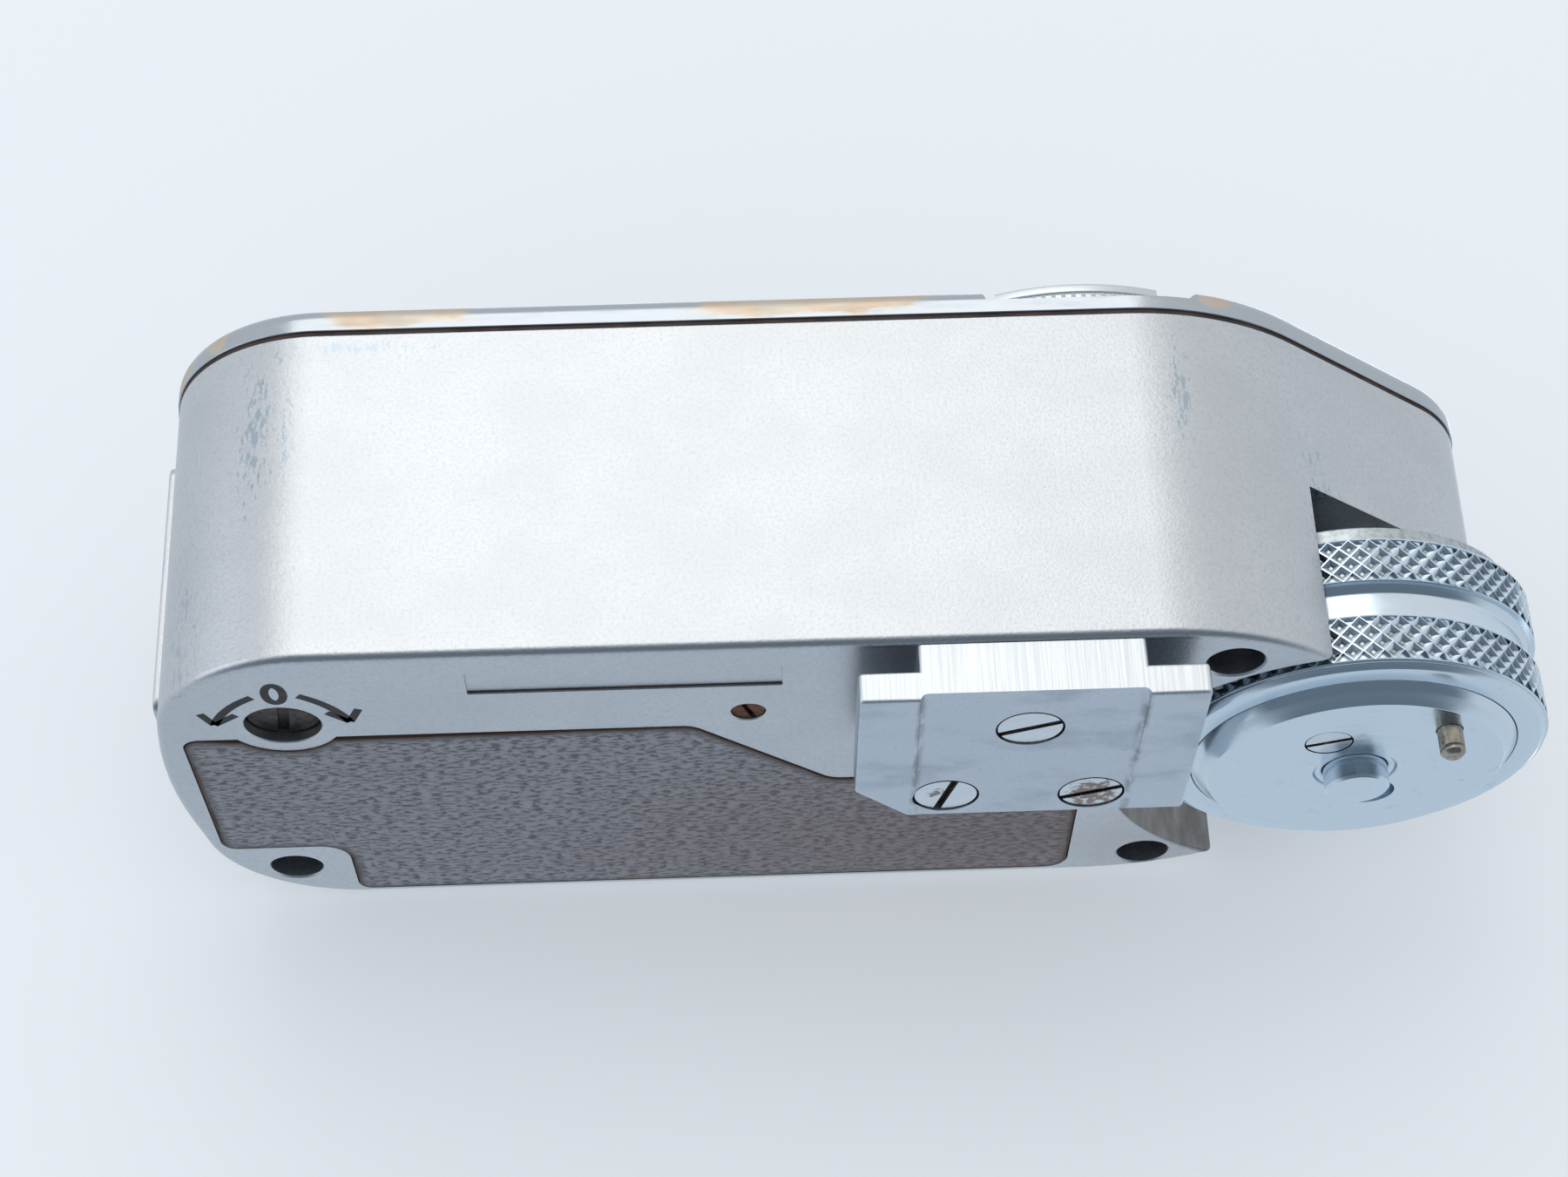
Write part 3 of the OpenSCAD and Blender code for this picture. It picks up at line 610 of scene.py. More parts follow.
def grown(name, tree_maker, base=None, **inputs):
    """A piece made by a geometry tree, as a plain mesh."""
    tree = TREES.get(tree_maker) or TREES.setdefault(tree_maker, tree_maker())
    piece = base or new_piece(name, [(0, 0, 0)], [])
    step = piece.modifiers.new("tree", "NODES")
    step.node_group = tree
    for socket in tree.interface.items_tree:
        label = socket.name.lower().replace(" ", "_")
        if socket.in_out == "INPUT" and label in inputs:
            step[socket.identifier] = inputs[label]
    bake(piece)
    piece.name = name
    return piece


def spots(places):
    """A cloud of points (x, y, z, turn in degrees) for pieces_on_spots."""
    cloud = bpy.data.meshes.new("spots")
    cloud.from_pydata([Vector(p[:3]) * MM for p in places], [], [])
    attribute = cloud.attributes.new("turn", "FLOAT", "POINT")
    attribute.data.foreach_set("value", [math.radians(p[3]) for p in places])
    return linked("spots", cloud)


def set_out(name, piece, places, material):
    """Copies of a small piece on places (x, y, z, turn in degrees), which use it up."""
    made = grown(name, spots_tree, base=spots(places), piece=piece, material=material)
    bpy.data.objects.remove(piece)
    return made


# ---------------------------------------------------------------------------
# Finishes
# ---------------------------------------------------------------------------


def linear(colour):
    """An sRGB hex colour as linear red, green, blue and alpha."""
    parts = [int(colour[i:i + 2], 16) / 255 for i in (1, 3, 5)]
    return (*[c / 12.92 if c <= 0.04045 else ((c + 0.055) / 1.055) ** 2.4 for c in parts], 1.0)


def new_finish(name, **shader):
    """A material with its surface shader, its object coordinates and a function that adds nodes to it."""
    material = bpy.data.materials.new(name)
    tree, put = blank(material)
    surface = put("ShaderNodeBsdfPrincipled", {k.replace("_", " "): v for k, v in shader.items()})
    put("ShaderNodeOutputMaterial", {"Surface": surface.outputs[0]})
    place = put("ShaderNodeTexCoord").outputs["Object"]

    def give(socket, value):
        feed(tree, value, surface.inputs[socket])

    return material, place, put, give


def speckle(put, place, size, stretch=(1, 1, 1), detail=3.0, roughness=0.6):
    """Noise whose grains are about size millimetres, stretched along the axes."""
    scaled = put("ShaderNodeMapping", {"Vector": place, "Scale": [1 / (size * MM * s) for s in stretch]})
    return put("ShaderNodeTexNoise", {
        "Vector": scaled.outputs[0], "Scale": 1.0, "Detail": detail, "Roughness": roughness,
    }).outputs["Fac"]


def wear_and_shade_patch(put, place, centre, reach):
    """1 at the centre of an oval patch, falling to 0 at its reach, both in millimetres."""
    local = put("ShaderNodeVectorMath", {0: place, 1: Vector(centre) * MM}, operation="SUBTRACT").outputs[0]
    scaled = put("ShaderNodeVectorMath", {0: local, 1: [1 / (r * MM) for r in reach]}, operation="MULTIPLY")
    patch = put("ShaderNodeTexGradient", {"Vector": scaled.outputs[0]}, gradient_type="SPHERICAL")
    return patch.outputs["Fac"]


def worn_patches(put, place, patches):
    """The strongest of several worn patches."""
    value = wear_and_shade_patch(put, place, *patches[0])
    for patch in patches[1:]:
        value = put("ShaderNodeMath", {0: value, 1: wear_and_shade_patch(put, place, *patch)}, operation="MAXIMUM")
    return value


def satin_chrome():
    """Chrome plate over bead-blasted brass: a fine even sparkle, burnished where hands and the camera rub,
    with painted shade near the front of the notch and on its front wall.
    """
    colours = bpy.context.scene.meter_colours
    material, place, put, give = new_finish("satin_chrome", Metallic=1.0)
    blasted = speckle(put, place, 0.2, detail=3.0, roughness=0.7)
    clouds = speckle(put, place, 7, (1, 1, 0.7))
    rubbed = worn_patches(put, place, [
        ((-41.3, REAR_Y + 0.5, 17.5), (1.6, 4, 8)),
        ((-39.5, REAR_Y, 17), (0.7, 4, 5)),
        ((9.3, REAR_Y, 18.5), (1.2, 4, 5)),
        ((-36, REAR_Y, 22.6), (8, 3, 0.9)),
        ((-46, -4.5, 7), (3.2, 4, 9)),
        ((17, -3.5, 12), (2, 5, 9)),
    ])
    flecks = speckle(put, place, 0.22, (1, 1, 3.2), detail=4.0, roughness=0.7)
    burnished = put("ShaderNodeMapRange", {
        "Value": put("ShaderNodeMath", {
            0: put("ShaderNodeMath", {0: rubbed, 1: 0.27}, operation="MULTIPLY"), 1: flecks,
        }, operation="ADD"),
        "From Min": 0.68, "From Max": 0.76,
    }, interpolation_type="SMOOTHSTEP")
    even = put("ShaderNodeMix", {
        "Factor_Float": put("ShaderNodeMapRange", {
            "Value": clouds, "From Min": 0.35, "From Max": 0.65,
        }, interpolation_type="SMOOTHSTEP"),
        "A_Color": linear(colours.case_chrome), "B_Color": linear("#CBCDD0"),
    }, data_type="RGBA")
    sparkle = put("ShaderNodeMix", {
        "Factor_Float": put("ShaderNodeMapRange", {
            "Value": blasted, "From Min": 0.4, "From Max": 0.75,
        }, interpolation_type="SMOOTHSTEP"),
        "A_Color": even, "B_Color": linear("#BABFC4"),
    }, data_type="RGBA")
    # Painted shade: a brownish darkening over the lower front by the notch, where the table's shade would
    # fall.
    front_shaded = put("ShaderNodeMix", {
        "Factor_Float": put("ShaderNodeMath", {
            0: wear_and_shade_patch(put, place, (10, 19, 0), (10, 9, 5)), 1: 0.9,
        }, operation="MULTIPLY"),
        "A_Color": sparkle, "B_Color": linear("#9A8F89"),
    }, data_type="RGBA")
    from_wheel = put("ShaderNodeVectorMath", {0: place, 1: Vector((*NOTCH_AT, 0)) * MM}, operation="SUBTRACT")
    spoke = put("ShaderNodeVectorMath", {0: from_wheel.outputs[0], 1: (1, 1, 0)}, operation="MULTIPLY")
    reach = put("ShaderNodeVectorMath", {0: spoke.outputs[0]}, operation="LENGTH").outputs["Value"]
    spot = put("ShaderNodeSeparateXYZ", {0: place}).outputs
    under = put("ShaderNodeMapRange", {
        "Value": spot["Z"], "From Min": (NOTCH_TOP + 0.05) * MM, "From Max": (NOTCH_TOP - 0.05) * MM,
    }, interpolation_type="SMOOTHSTEP")
    at_tip = put("ShaderNodeMath", {
        0: under,
        1: put("ShaderNodeMapRange", {
            "Value": spot["Y"], "From Min": 9 * MM, "From Max": 14 * MM,
        }, interpolation_type="SMOOTHSTEP"),
    }, operation="MULTIPLY")
    # Painted shade: the front part of the notch's inner wall, below the cover, is darkened in streaks where
    # the wheel and the table would shade it.
    film = put("ShaderNodeMath", {
        0: at_tip,
        1: put("ShaderNodeMapRange", {
            "Value": reach, "From Min": (NOTCH_R + 0.12) * MM, "From Max": (NOTCH_R + 0.02) * MM,
        }, interpolation_type="SMOOTHSTEP"),
    }, operation="MULTIPLY")
    streaks = put("ShaderNodeMapRange", {
        "Value": speckle(put, place, 1.5, (1, 1, 2.5), detail=4.0), "From Min": 0.2, "From Max": 0.65,
        "To Min": 0.55, "To Max": 1.0,
    }, interpolation_type="SMOOTHSTEP")
    notch_shaded = put("ShaderNodeMix", {
        "Factor_Float": put("ShaderNodeMath", {0: film, 1: streaks}, operation="MULTIPLY"),
        "A_Color": front_shaded, "B_Color": linear("#77736F"),
    }, data_type="RGBA")
    give(
        "Base Color",
        put("ShaderNodeMix", {
            "Factor_Float": put("ShaderNodeMath", {0: burnished, 1: 0.85}, operation="MULTIPLY"),
            "A_Color": notch_shaded, "B_Color": linear("#A3B2BC"),
        }, data_type="RGBA"),
    )
    give(
        "Roughness",
        put("ShaderNodeMix", {
            "Factor_Float": burnished, "A_Color": (0.36, 0.36, 0.36, 1), "B_Color": (0.24, 0.24, 0.24, 1),
        }, data_type="RGBA"),
    )
    give("Normal", put("ShaderNodeBump", {"Height": blasted, "Strength": 0.55, "Distance": 0.03 * MM}))
    return material


def brassed_chrome():
    """Polished chrome over brass: mirror bright, with the brass showing through where the edge has worn."""
    colours = bpy.context.scene.meter_colours
    material, place, put, give = new_finish("brassed_chrome", Metallic=1.0)
    top = COVER_LOW.z + 1.1
    edge = worn_patches(put, place, [
        ((-34, REAR_Y + 0.4, top), (6.5, 2.6, 1.6)),
        ((-11, REAR_Y + 0.4, top), (11, 2.6, 1.6)),
        ((-46.2, -1.5, top), (2.2, 3.5, 1.6)),
        ((-44, -5.3, top), (1.4, 1.6, 1.6)),
        ((12, REAR_Y + 0.6, top), (1.6, 2.2, 1.1)),
    ])
    crumbs = speckle(put, place, 2.2, (1.6, 1, 0.8), detail=5.0)
    bare = put("ShaderNodeMapRange", {
        "Value": put("ShaderNodeMath", {0: edge, 1: crumbs}, operation="ADD"), "From Min": 0.72,
        "From Max": 0.98,
    }, interpolation_type="SMOOTHSTEP")
    tone = speckle(put, place, 3)
    brass = put("ShaderNodeMix", {
        "Factor_Float": put("ShaderNodeMapRange", {
            "Value": tone, "From Min": 0.4, "From Max": 0.6,
        }, interpolation_type="SMOOTHSTEP"),
        "A_Color": linear("#C9C0B2"), "B_Color": linear("#CBB9A6"),
    }, data_type="RGBA")
    scuffs = speckle(put, place, 0.5, (6, 1, 1), detail=4.0)
    give(
        "Base Color",
        put("ShaderNodeMix", {
            "Factor_Float": bare, "A_Color": linear(colours.cover_chrome), "B_Color": brass,
        }, data_type="RGBA"),
    )
    dull = put("ShaderNodeMath", {0: bare, 1: 0.25}, operation="MULTIPLY")
    give(
        "Roughness",
        put("ShaderNodeMath", {
            0: put("ShaderNodeMapRange", {
                "Value": scuffs, "From Min": 0.35, "From Max": 0.75, "To Min": 0.16, "To Max": 0.3,
            }, interpolation_type="SMOOTHSTEP"),
            1: dull,
        }, operation="ADD"),
    )
    give(
        "Normal",
        put("ShaderNodeBump", {
            "Height": speckle(put, place, 0.5, detail=4.0), "Strength": 0.25, "Distance": 0.02 * MM,
        }),
    )
    return material


def foot_steel():
    """Milled steel: a faint lay across its lower faces, strong upright file marks on its ends, small pits."""
    colours = bpy.context.scene.meter_colours
    material, place, put, give = new_finish("milled_steel", Metallic=1.0)
    upright = speckle(put, place, 0.1, (1, 60, 60), detail=3.0)
    pits = speckle(put, place, 0.18, detail=5.0, roughness=0.8)
    smears = speckle(put, place, 3.5, (2, 1, 1), detail=4.0)
    facing = put("ShaderNodeSeparateXYZ", {0: put("ShaderNodeNewGeometry").outputs["Normal"]}).outputs["Y"]
    end_face = put("ShaderNodeMapRange", {
        "Value": put("ShaderNodeMath", {0: facing}, operation="ABSOLUTE"), "From Min": 0.5, "From Max": 0.8,
    }, interpolation_type="SMOOTHSTEP")
    pitted = put("ShaderNodeMapRange", {
        "Value": pits, "From Min": 0.58, "From Max": 0.68,
    }, interpolation_type="SMOOTHSTEP")
    aside = put("ShaderNodeMath", {
        0: put("ShaderNodeSeparateXYZ", {0: place}).outputs["X"],
    }, operation="ABSOLUTE")
    rails = put("ShaderNodeMath", {
        0: put("ShaderNodeMapRange", {
            "Value": aside, "From Min": 5.5 * MM, "From Max": 5.9 * MM,
        }, interpolation_type="SMOOTHSTEP"),
        1: put("ShaderNodeMapRange", {
            "Value": aside, "From Min": 6.25 * MM, "From Max": 5.98 * MM,
        }, interpolation_type="SMOOTHSTEP"),
    }, operation="MULTIPLY")
    caked = put("ShaderNodeMath", {
        0: rails,
        1: put("ShaderNodeMapRange", {
            "Value": speckle(put, place, 0.8, (1, 2, 1)), "From Min": 0.35, "From Max": 0.6,
        }, interpolation_type="SMOOTHSTEP"),
    }, operation="MULTIPLY")
    base = put("ShaderNodeMix", {
        "Factor_Float": put("ShaderNodeMapRange", {
            "Value": smears, "From Min": 0.45, "From Max": 0.75,
        }, interpolation_type="SMOOTHSTEP"),
        "A_Color": linear(colours.foot_steel), "B_Color": linear("#A9B1BA"),
    }, data_type="RGBA")
    pocked = put("ShaderNodeMix", {
        "Factor_Float": put("ShaderNodeMath", {0: pitted, 1: 0.6}, operation="MULTIPLY"), "A_Color": base,
        "B_Color": linear("#565D64"),
    }, data_type="RGBA")
    flat = put("ShaderNodeMix", {
        "Factor_Float": put("ShaderNodeMath", {0: caked, 1: 0.5}, operation="MULTIPLY"), "A_Color": pocked,
        "B_Color": linear("#4A4744"),
    }, data_type="RGBA")
    filed = put("ShaderNodeMix", {
        "Factor_Float": put("ShaderNodeMapRange", {
            "Value": upright, "From Min": 0.3, "From Max": 0.7,
        }, interpolation_type="SMOOTHSTEP"),
        "A_Color": linear("#E3E6E8"), "B_Color": linear("#CED2D5"),
    }, data_type="RGBA")
    give(
        "Base Color",
        put("ShaderNodeMix", {
            "Factor_Float": end_face, "A_Color": flat, "B_Color": filed,
        }, data_type="RGBA"),
    )
    give(
        "Roughness",
        put("ShaderNodeMix", {
            "Factor_Float": end_face, "A_Color": (0.34, 0.34, 0.34, 1), "B_Color": (0.42, 0.42, 0.42, 1),
        }, data_type="RGBA"),
    )
    lay = put("ShaderNodeMath", {0: upright, 1: end_face}, operation="MULTIPLY")
    give(
        "Normal",
        put("ShaderNodeBump", {
            "Height": put("ShaderNodeMath", {
                0: lay, 1: put("ShaderNodeMath", {0: pits, 1: 0.5}, operation="MULTIPLY"),
            }, operation="ADD"),
            "Strength": 0.35, "Distance": 0.02 * MM,
        }),
    )
    return material


def turned_chrome(name, colour, at, groove=0.09, roughness=0.17, wander=0.05):
    """Chrome over turned brass: fine rings round the axis, which draw the light out across them."""
    material, place, put, give = new_finish(name, Metallic=1.0)
    local = put("ShaderNodeVectorMath", {0: place, 1: Vector((at[0], at[1], 0)) * MM}, operation="SUBTRACT")
    parts = put("ShaderNodeSeparateXYZ", {0: local.outputs[0]})
    flat = put("ShaderNodeCombineXYZ", {"X": parts.outputs["X"], "Y": parts.outputs["Y"]})
    radius = put("ShaderNodeVectorMath", {0: flat.outputs[0]}, operation="LENGTH").outputs["Value"]
    along = put("ShaderNodeMath", {0: radius, 1: parts.outputs["Z"]}, operation="ADD")
    rings = put("ShaderNodeTexNoise", {"W": along, "Scale": 1 / (groove * MM), "Detail": 3.0},
                noise_dimensions="1D").outputs["Fac"]
    broad = put("ShaderNodeTexNoise", {"W": along, "Scale": 1 / (0.8 * MM), "Detail": 1.0},
                noise_dimensions="1D").outputs["Fac"]
    scuffs = speckle(put, place, 1.6, detail=5.0, roughness=0.7)
    give(
        "Base Color",
        put("ShaderNodeMix", {
            "Factor_Float": put("ShaderNodeMapRange", {
                "Value": scuffs, "From Min": 0.58, "From Max": 0.85,
            }, interpolation_type="SMOOTHSTEP"),
            "A_Color": linear(colour), "B_Color": linear("#AEBAC5"),
        }, data_type="RGBA"),
    )
    give(
        "Roughness",
        put("ShaderNodeMapRange", {
            "Value": broad, "From Min": 0.3, "From Max": 0.7, "To Min": roughness,
            "To Max": roughness + 0.12,
        }, interpolation_type="SMOOTHSTEP"),
    )
    height = put("ShaderNodeMath", {
        0: rings, 1: put("ShaderNodeMath", {0: scuffs, 1: wander}, operation="MULTIPLY"),
    }, operation="ADD")
    give("Normal", put("ShaderNodeBump", {"Height": height, "Strength": 0.07, "Distance": 0.012 * MM}))
    return material


def knurled_chrome():
    """Chrome over a pressed diamond knurl: a bright net of ridges with old dirt in its pits."""
    colours = bpy.context.scene.meter_colours
    material, place, put, give = new_finish("knurled_chrome", Metallic=1.0)
    at = Vector((WHEEL_AT.x, WHEEL_AT.y, 0)) * MM
    local = put("ShaderNodeVectorMath", {0: place, 1: at}, operation="SUBTRACT")
    flat = put("ShaderNodeVectorMath", {0: local.outputs[0], 1: (1, 1, 0)}, operation="MULTIPLY")
    radius = put("ShaderNodeVectorMath", {0: flat.outputs[0]}, operation="LENGTH").outputs["Value"]
    rim = (node_box("wheel")[1].x - WHEEL_AT.x) * MM
    low = put("ShaderNodeMapRange", {
        "Value": radius, "From Min": rim - 0.22 * MM, "From Max": rim - 0.08 * MM,
    }, interpolation_type="SMOOTHSTEP")
    grime = put("ShaderNodeMix", {
        "Factor_Float": speckle(put, place, 0.7), "A_Color": linear("#969B9A"),
        "B_Color": linear("#C4CACC"),
    }, data_type="RGBA")
    give(
        "Base Color",
        put("ShaderNodeMix", {
            "Factor_Float": low, "A_Color": grime, "B_Color": linear(colours.wheel_chrome),
        }, data_type="RGBA"),
    )
    give(
        "Roughness",
        put("ShaderNodeMapRange", {
            "Value": speckle(put, place, 0.35), "From Min": 0.3, "From Max": 0.7, "To Min": 0.12,
            "To Max": 0.26,
        }, interpolation_type="SMOOTHSTEP"),
    )
    give(
        "Normal",
        put("ShaderNodeBump", {
            "Height": speckle(put, place, 0.25), "Strength": 0.25, "Distance": 0.02 * MM,
        }),
    )
    return material


def screw_steel():
    """Turned and polished steel screws, with rust and dirt left in the slots and round the heads."""
    material, place, put, give = new_finish("screw_steel", Metallic=0.9)
    grime = put("ShaderNodeAttribute", attribute_name="grime").outputs["Fac"]
    crumbs = speckle(put, place, 0.45, detail=5.0)
    dirt = put("ShaderNodeMapRange", {
        "Value": put("ShaderNodeMath", {
            0: grime, 1: put("ShaderNodeMath", {0: crumbs, 1: 0.5}, operation="MULTIPLY"),
        }, operation="ADD"),
        "From Min": 0.55, "From Max": 0.8,
    }, interpolation_type="SMOOTHSTEP")
    steel = put("ShaderNodeMix", {
        "Factor_Float": crumbs, "A_Color": linear("#E0E6EA"), "B_Color": linear("#CBD1D6"),
    }, data_type="RGBA")
    rust = worn_patches(put, place, [
        ((FOOT_SCREWS[2][0], FOOT_SCREWS[2][1], 0), (3.6, 3.6, 4)),
        ((FOOT_SCREWS[1][0] - 0.6, FOOT_SCREWS[1][1] - 0.3, 0), (1.4, 1, 3)),
    ])
    rusty = put("ShaderNodeMapRange", {
        "Value": put("ShaderNodeMath", {
            0: rust,
            1: put("ShaderNodeMath", {
                0: speckle(put, place, 0.5, detail=5.0), 1: 1.6,
            }, operation="MULTIPLY"),
        }, operation="ADD"),
        "From Min": 1.35, "From Max": 1.6,
    }, interpolation_type="SMOOTHSTEP")
    tarnished = put("ShaderNodeMix", {
        "Factor_Float": put("ShaderNodeMath", {0: rusty, 1: 0.85}, operation="MULTIPLY"), "A_Color": steel,
        "B_Color": linear("#6E4F3E"),
    }, data_type="RGBA")
    give(
        "Base Color",
        put("ShaderNodeMix", {
            "Factor_Float": dirt, "A_Color": tarnished, "B_Color": linear("#33261E"),
        }, data_type="RGBA"),
    )
    give(
        "Roughness",
        put("ShaderNodeMix", {
            "Factor_Float": dirt, "A_Color": (0.24, 0.24, 0.24, 1), "B_Color": (0.75, 0.75, 0.75, 1),
        }, data_type="RGBA"),
    )
    give(
        "Metallic",
        put("ShaderNodeMapRange", {
            "Value": dirt, "From Min": 0.2, "From Max": 0.8, "To Min": 1.0, "To Max": 0.2,
        }, interpolation_type="SMOOTHSTEP"),
    )
    give(
        "Normal",
        put("ShaderNodeBump", {
            "Height": speckle(put, place, 0.12), "Strength": 0.2, "Distance": 0.015 * MM,
        }),
    )
    return material


def pressed_leatherette():
    """Grained leatherette: matt grey pebbles, darker in the grooves, with brown glue and dirt at its rim."""
    colours = bpy.context.scene.meter_colours
    material, place, put, give = new_finish("pressed_leatherette", Roughness=0.62, Specular_IOR_Level=0.35)
    rim = put("ShaderNodeAttribute", attribute_name="rim").outputs["Fac"]
    height = put("ShaderNodeSeparateXYZ", {0: place}).outputs["Z"]
    groove = put("ShaderNodeMapRange", {
        "Value": height, "From Min": (FLOOR_Z - 0.05) * MM, "From Max": (FLOOR_Z - 0.12) * MM,
    }, interpolation_type="SMOOTHSTEP")
    clouds = speckle(put, place, 5)
    tone = put("ShaderNodeMix", {
        "Factor_Float": clouds, "A_Color": linear(colours.leatherette), "B_Color": linear("#7F7F85"),
    }, data_type="RGBA")
    pebble = put("ShaderNodeMix", {
        "Factor_Float": groove, "A_Color": linear("#56575D"), "B_Color": tone,
    }, data_type="RGBA")
    # Browner and darker over a wide patch towards the front edge.
    toward_front = wear_and_shade_patch(put, place, (2, 17, 0), (34, 15, 9))
    browned = put("ShaderNodeMix", {
        "Factor_Float": put("ShaderNodeMath", {0: toward_front, 1: 0.75}, operation="MULTIPLY"),
        "A_Color": pebble, "B_Color": linear("#66544F"),
    }, data_type="RGBA")
    dirt = put("ShaderNodeMapRange", {
        "Value": put("ShaderNodeMath", {
            0: rim, 1: put("ShaderNodeMath", {0: speckle(put, place, 1.2), 1: 0.5}, operation="MULTIPLY"),
        }, operation="ADD"),
        "From Min": 0.25, "From Max": 0.6,
    }, interpolation_type="SMOOTHSTEP")
    give(
        "Base Color",
        put("ShaderNodeMix", {
            "Factor_Float": dirt, "A_Color": linear("#46342B"), "B_Color": browned,
        }, data_type="RGBA"),
    )
    give(
        "Normal",
        put("ShaderNodeBump", {
            "Height": speckle(put, place, 0.12, detail=4.0), "Strength": 0.4, "Distance": 0.03 * MM,
        }),
    )
    return material


def worn_metal(name, base, dark, roughness, grain=0.4):
    """A plain machined metal: two close tones, a fine lay and uneven gloss."""
    material, place, put, give = new_finish(name, Metallic=1.0)
    tone = speckle(put, place, grain, detail=4.0)
    give(
        "Base Color",
        put("ShaderNodeMix", {
            "Factor_Float": put("ShaderNodeMapRange", {
                "Value": tone, "From Min": 0.4, "From Max": 0.7,
            }, interpolation_type="SMOOTHSTEP"),
            "A_Color": linear(base), "B_Color": linear(dark),
        }, data_type="RGBA"),
    )
    give(
        "Roughness",
        put("ShaderNodeMapRange", {
            "Value": speckle(put, place, grain * 3), "From Min": 0.3, "From Max": 0.7, "To Min": roughness,
            "To Max": roughness + 0.12,
        }, interpolation_type="SMOOTHSTEP"),
    )
    give(
        "Normal",
        put("ShaderNodeBump", {
            "Height": speckle(put, place, grain / 3), "Strength": 0.25, "Distance": 0.02 * MM,
        }),
    )
    return material


def coating(name, base, second, roughness, grain=0.6, depth=0.02):
    """A paint, varnish or moulding: two close tones under a soft gloss."""
    material, place, put, give = new_finish(name, Roughness=roughness)
    tone = speckle(put, place, grain * 4, detail=3.0)
    give(
        "Base Color",
        put("ShaderNodeMix", {
            "Factor_Float": put("ShaderNodeMapRange", {
                "Value": tone, "From Min": 0.35, "From Max": 0.65,
            }, interpolation_type="SMOOTHSTEP"),
            "A_Color": linear(base), "B_Color": linear(second),
        }, data_type="RGBA"),
    )
    give(
        "Normal",
        put("ShaderNodeBump", {
            "Height": speckle(put, place, grain), "Strength": 0.3, "Distance": depth * MM,
        }),
    )
    return material


def clear_glass(name, tint, roughness):
    """Clear glass or acrylic: almost colourless, with faint smears."""
    material, place, put, give = new_finish(name, IOR=1.49, Transmission_Weight=1.0, Base_Color=linear(tint))
    smears = speckle(put, place, 4, (2, 1, 1), detail=4.0)
    give(
        "Roughness",
        put("ShaderNodeMapRange", {
            "Value": smears, "From Min": 0.45, "From Max": 0.8, "To Min": roughness,
            "To Max": roughness + 0.08,
        }, interpolation_type="SMOOTHSTEP"),
    )
    return material


def selenium_layer():
    """Selenium on its steel plate: nearly black, with the lacquer's even sheen."""
    material, place, put, give = new_finish("selenium_layer", Metallic=0.6, Roughness=0.32, Coat_Weight=0.4)
    bands = speckle(put, place, 6, (3, 1, 1))
    give(
        "Base Color",
        put("ShaderNodeMix", {
            "Factor_Float": bands, "A_Color": linear("#2B2A33"), "B_Color": linear("#423F4C"),
        }, data_type="RGBA"),
    )
    give(
        "Normal",
        put("ShaderNodeBump", {"Height": speckle(put, place, 0.3), "Strength": 0.2, "Distance": 0.01 * MM}),
    )
    return material


FINISHES = {}


def finish(maker, *values):
    """A finish, made once."""
    key = (maker.__name__, *values)
    if key not in FINISHES:
        FINISHES[key] = maker(*values)
    return FINISHES[key]


def wheel_finish():
    """The coupling wheel's turned chrome."""
    return finish(
        turned_chrome, "turned_wheel_chrome", bpy.context.scene.meter_colours.wheel_chrome, tuple(WHEEL_AT),
    )


def dial_finish():
    """The dial's turned chrome."""
    return finish(turned_chrome, "turned_dial_chrome", "#CDD1D4", tuple(DIAL_AT), 0.12, 0.3)


def black_paint():
    """Black paint filled into engraved marks."""
    return finish(coating, "black_fill_paint", "#0E0D0E", "#1C1A1A", 0.55)


# ---------------------------------------------------------------------------
# Pieces
# ---------------------------------------------------------------------------


def screw(radius, height, slot_width, edge, shank, length):
    """A slotted screw that stands on its head, with dirt in its slot and round its rim."""
    section = [(0, 0), (radius, 0), (radius, height), (shank, height), (shank, length), (0, length)]
    head = lathe("screw", (0, 0), section, (0, edge, 0.02, 0.02, 0.1, 0), segments=64)
    slot_depth = height * 0.42
    slot = block((-radius - 1, -slot_width / 2, -1), (radius + 1, slot_width / 2, slot_depth))
    cut(head, slot)
    mark(head, "grime", lambda p: 1.0 if p.z > 0.05 or p.xy.length > radius - 0.02 else 0.0)
    return head


def zero_marks():
    """The oval and the two curved arrows beside the zero adjuster, as strips of paint."""
    centre = ZERO_AT + Vector((0.05, -3.7))
    oval = [centre + Vector((0.48 * math.cos(a), 0.98 * math.sin(a))) for a in
            [math.tau * k / 40 for k in range(40)]]
    strips = [(oval + oval[:1], 0.46)]
    for tail, head, wings in (
        ((-1.19, -3.38), (-3.63, -0.31), ((-4.21, -1.62), (-2.34, -1.38))),
        ((1.27, -3.42), (3.68, -0.23), ((2.56, -1.36), (4.28, -1.66))),
    ):
        start, end = Vector(tail), Vector(head)
        bulge = (start + end) / 2 * 1.22
        arc = [start.lerp(bulge, t).lerp(bulge.lerp(end, t), t) for t in [k / 14 for k in range(15)]]
        strips.append(([ZERO_AT + p for p in arc], 0.5))
        for wing in wings:
            strips.append(([ZERO_AT + end, ZERO_AT + Vector(wing)], 0.46))
    return join("zero_marks", [paint_strip(line, width) for line, width in strips])


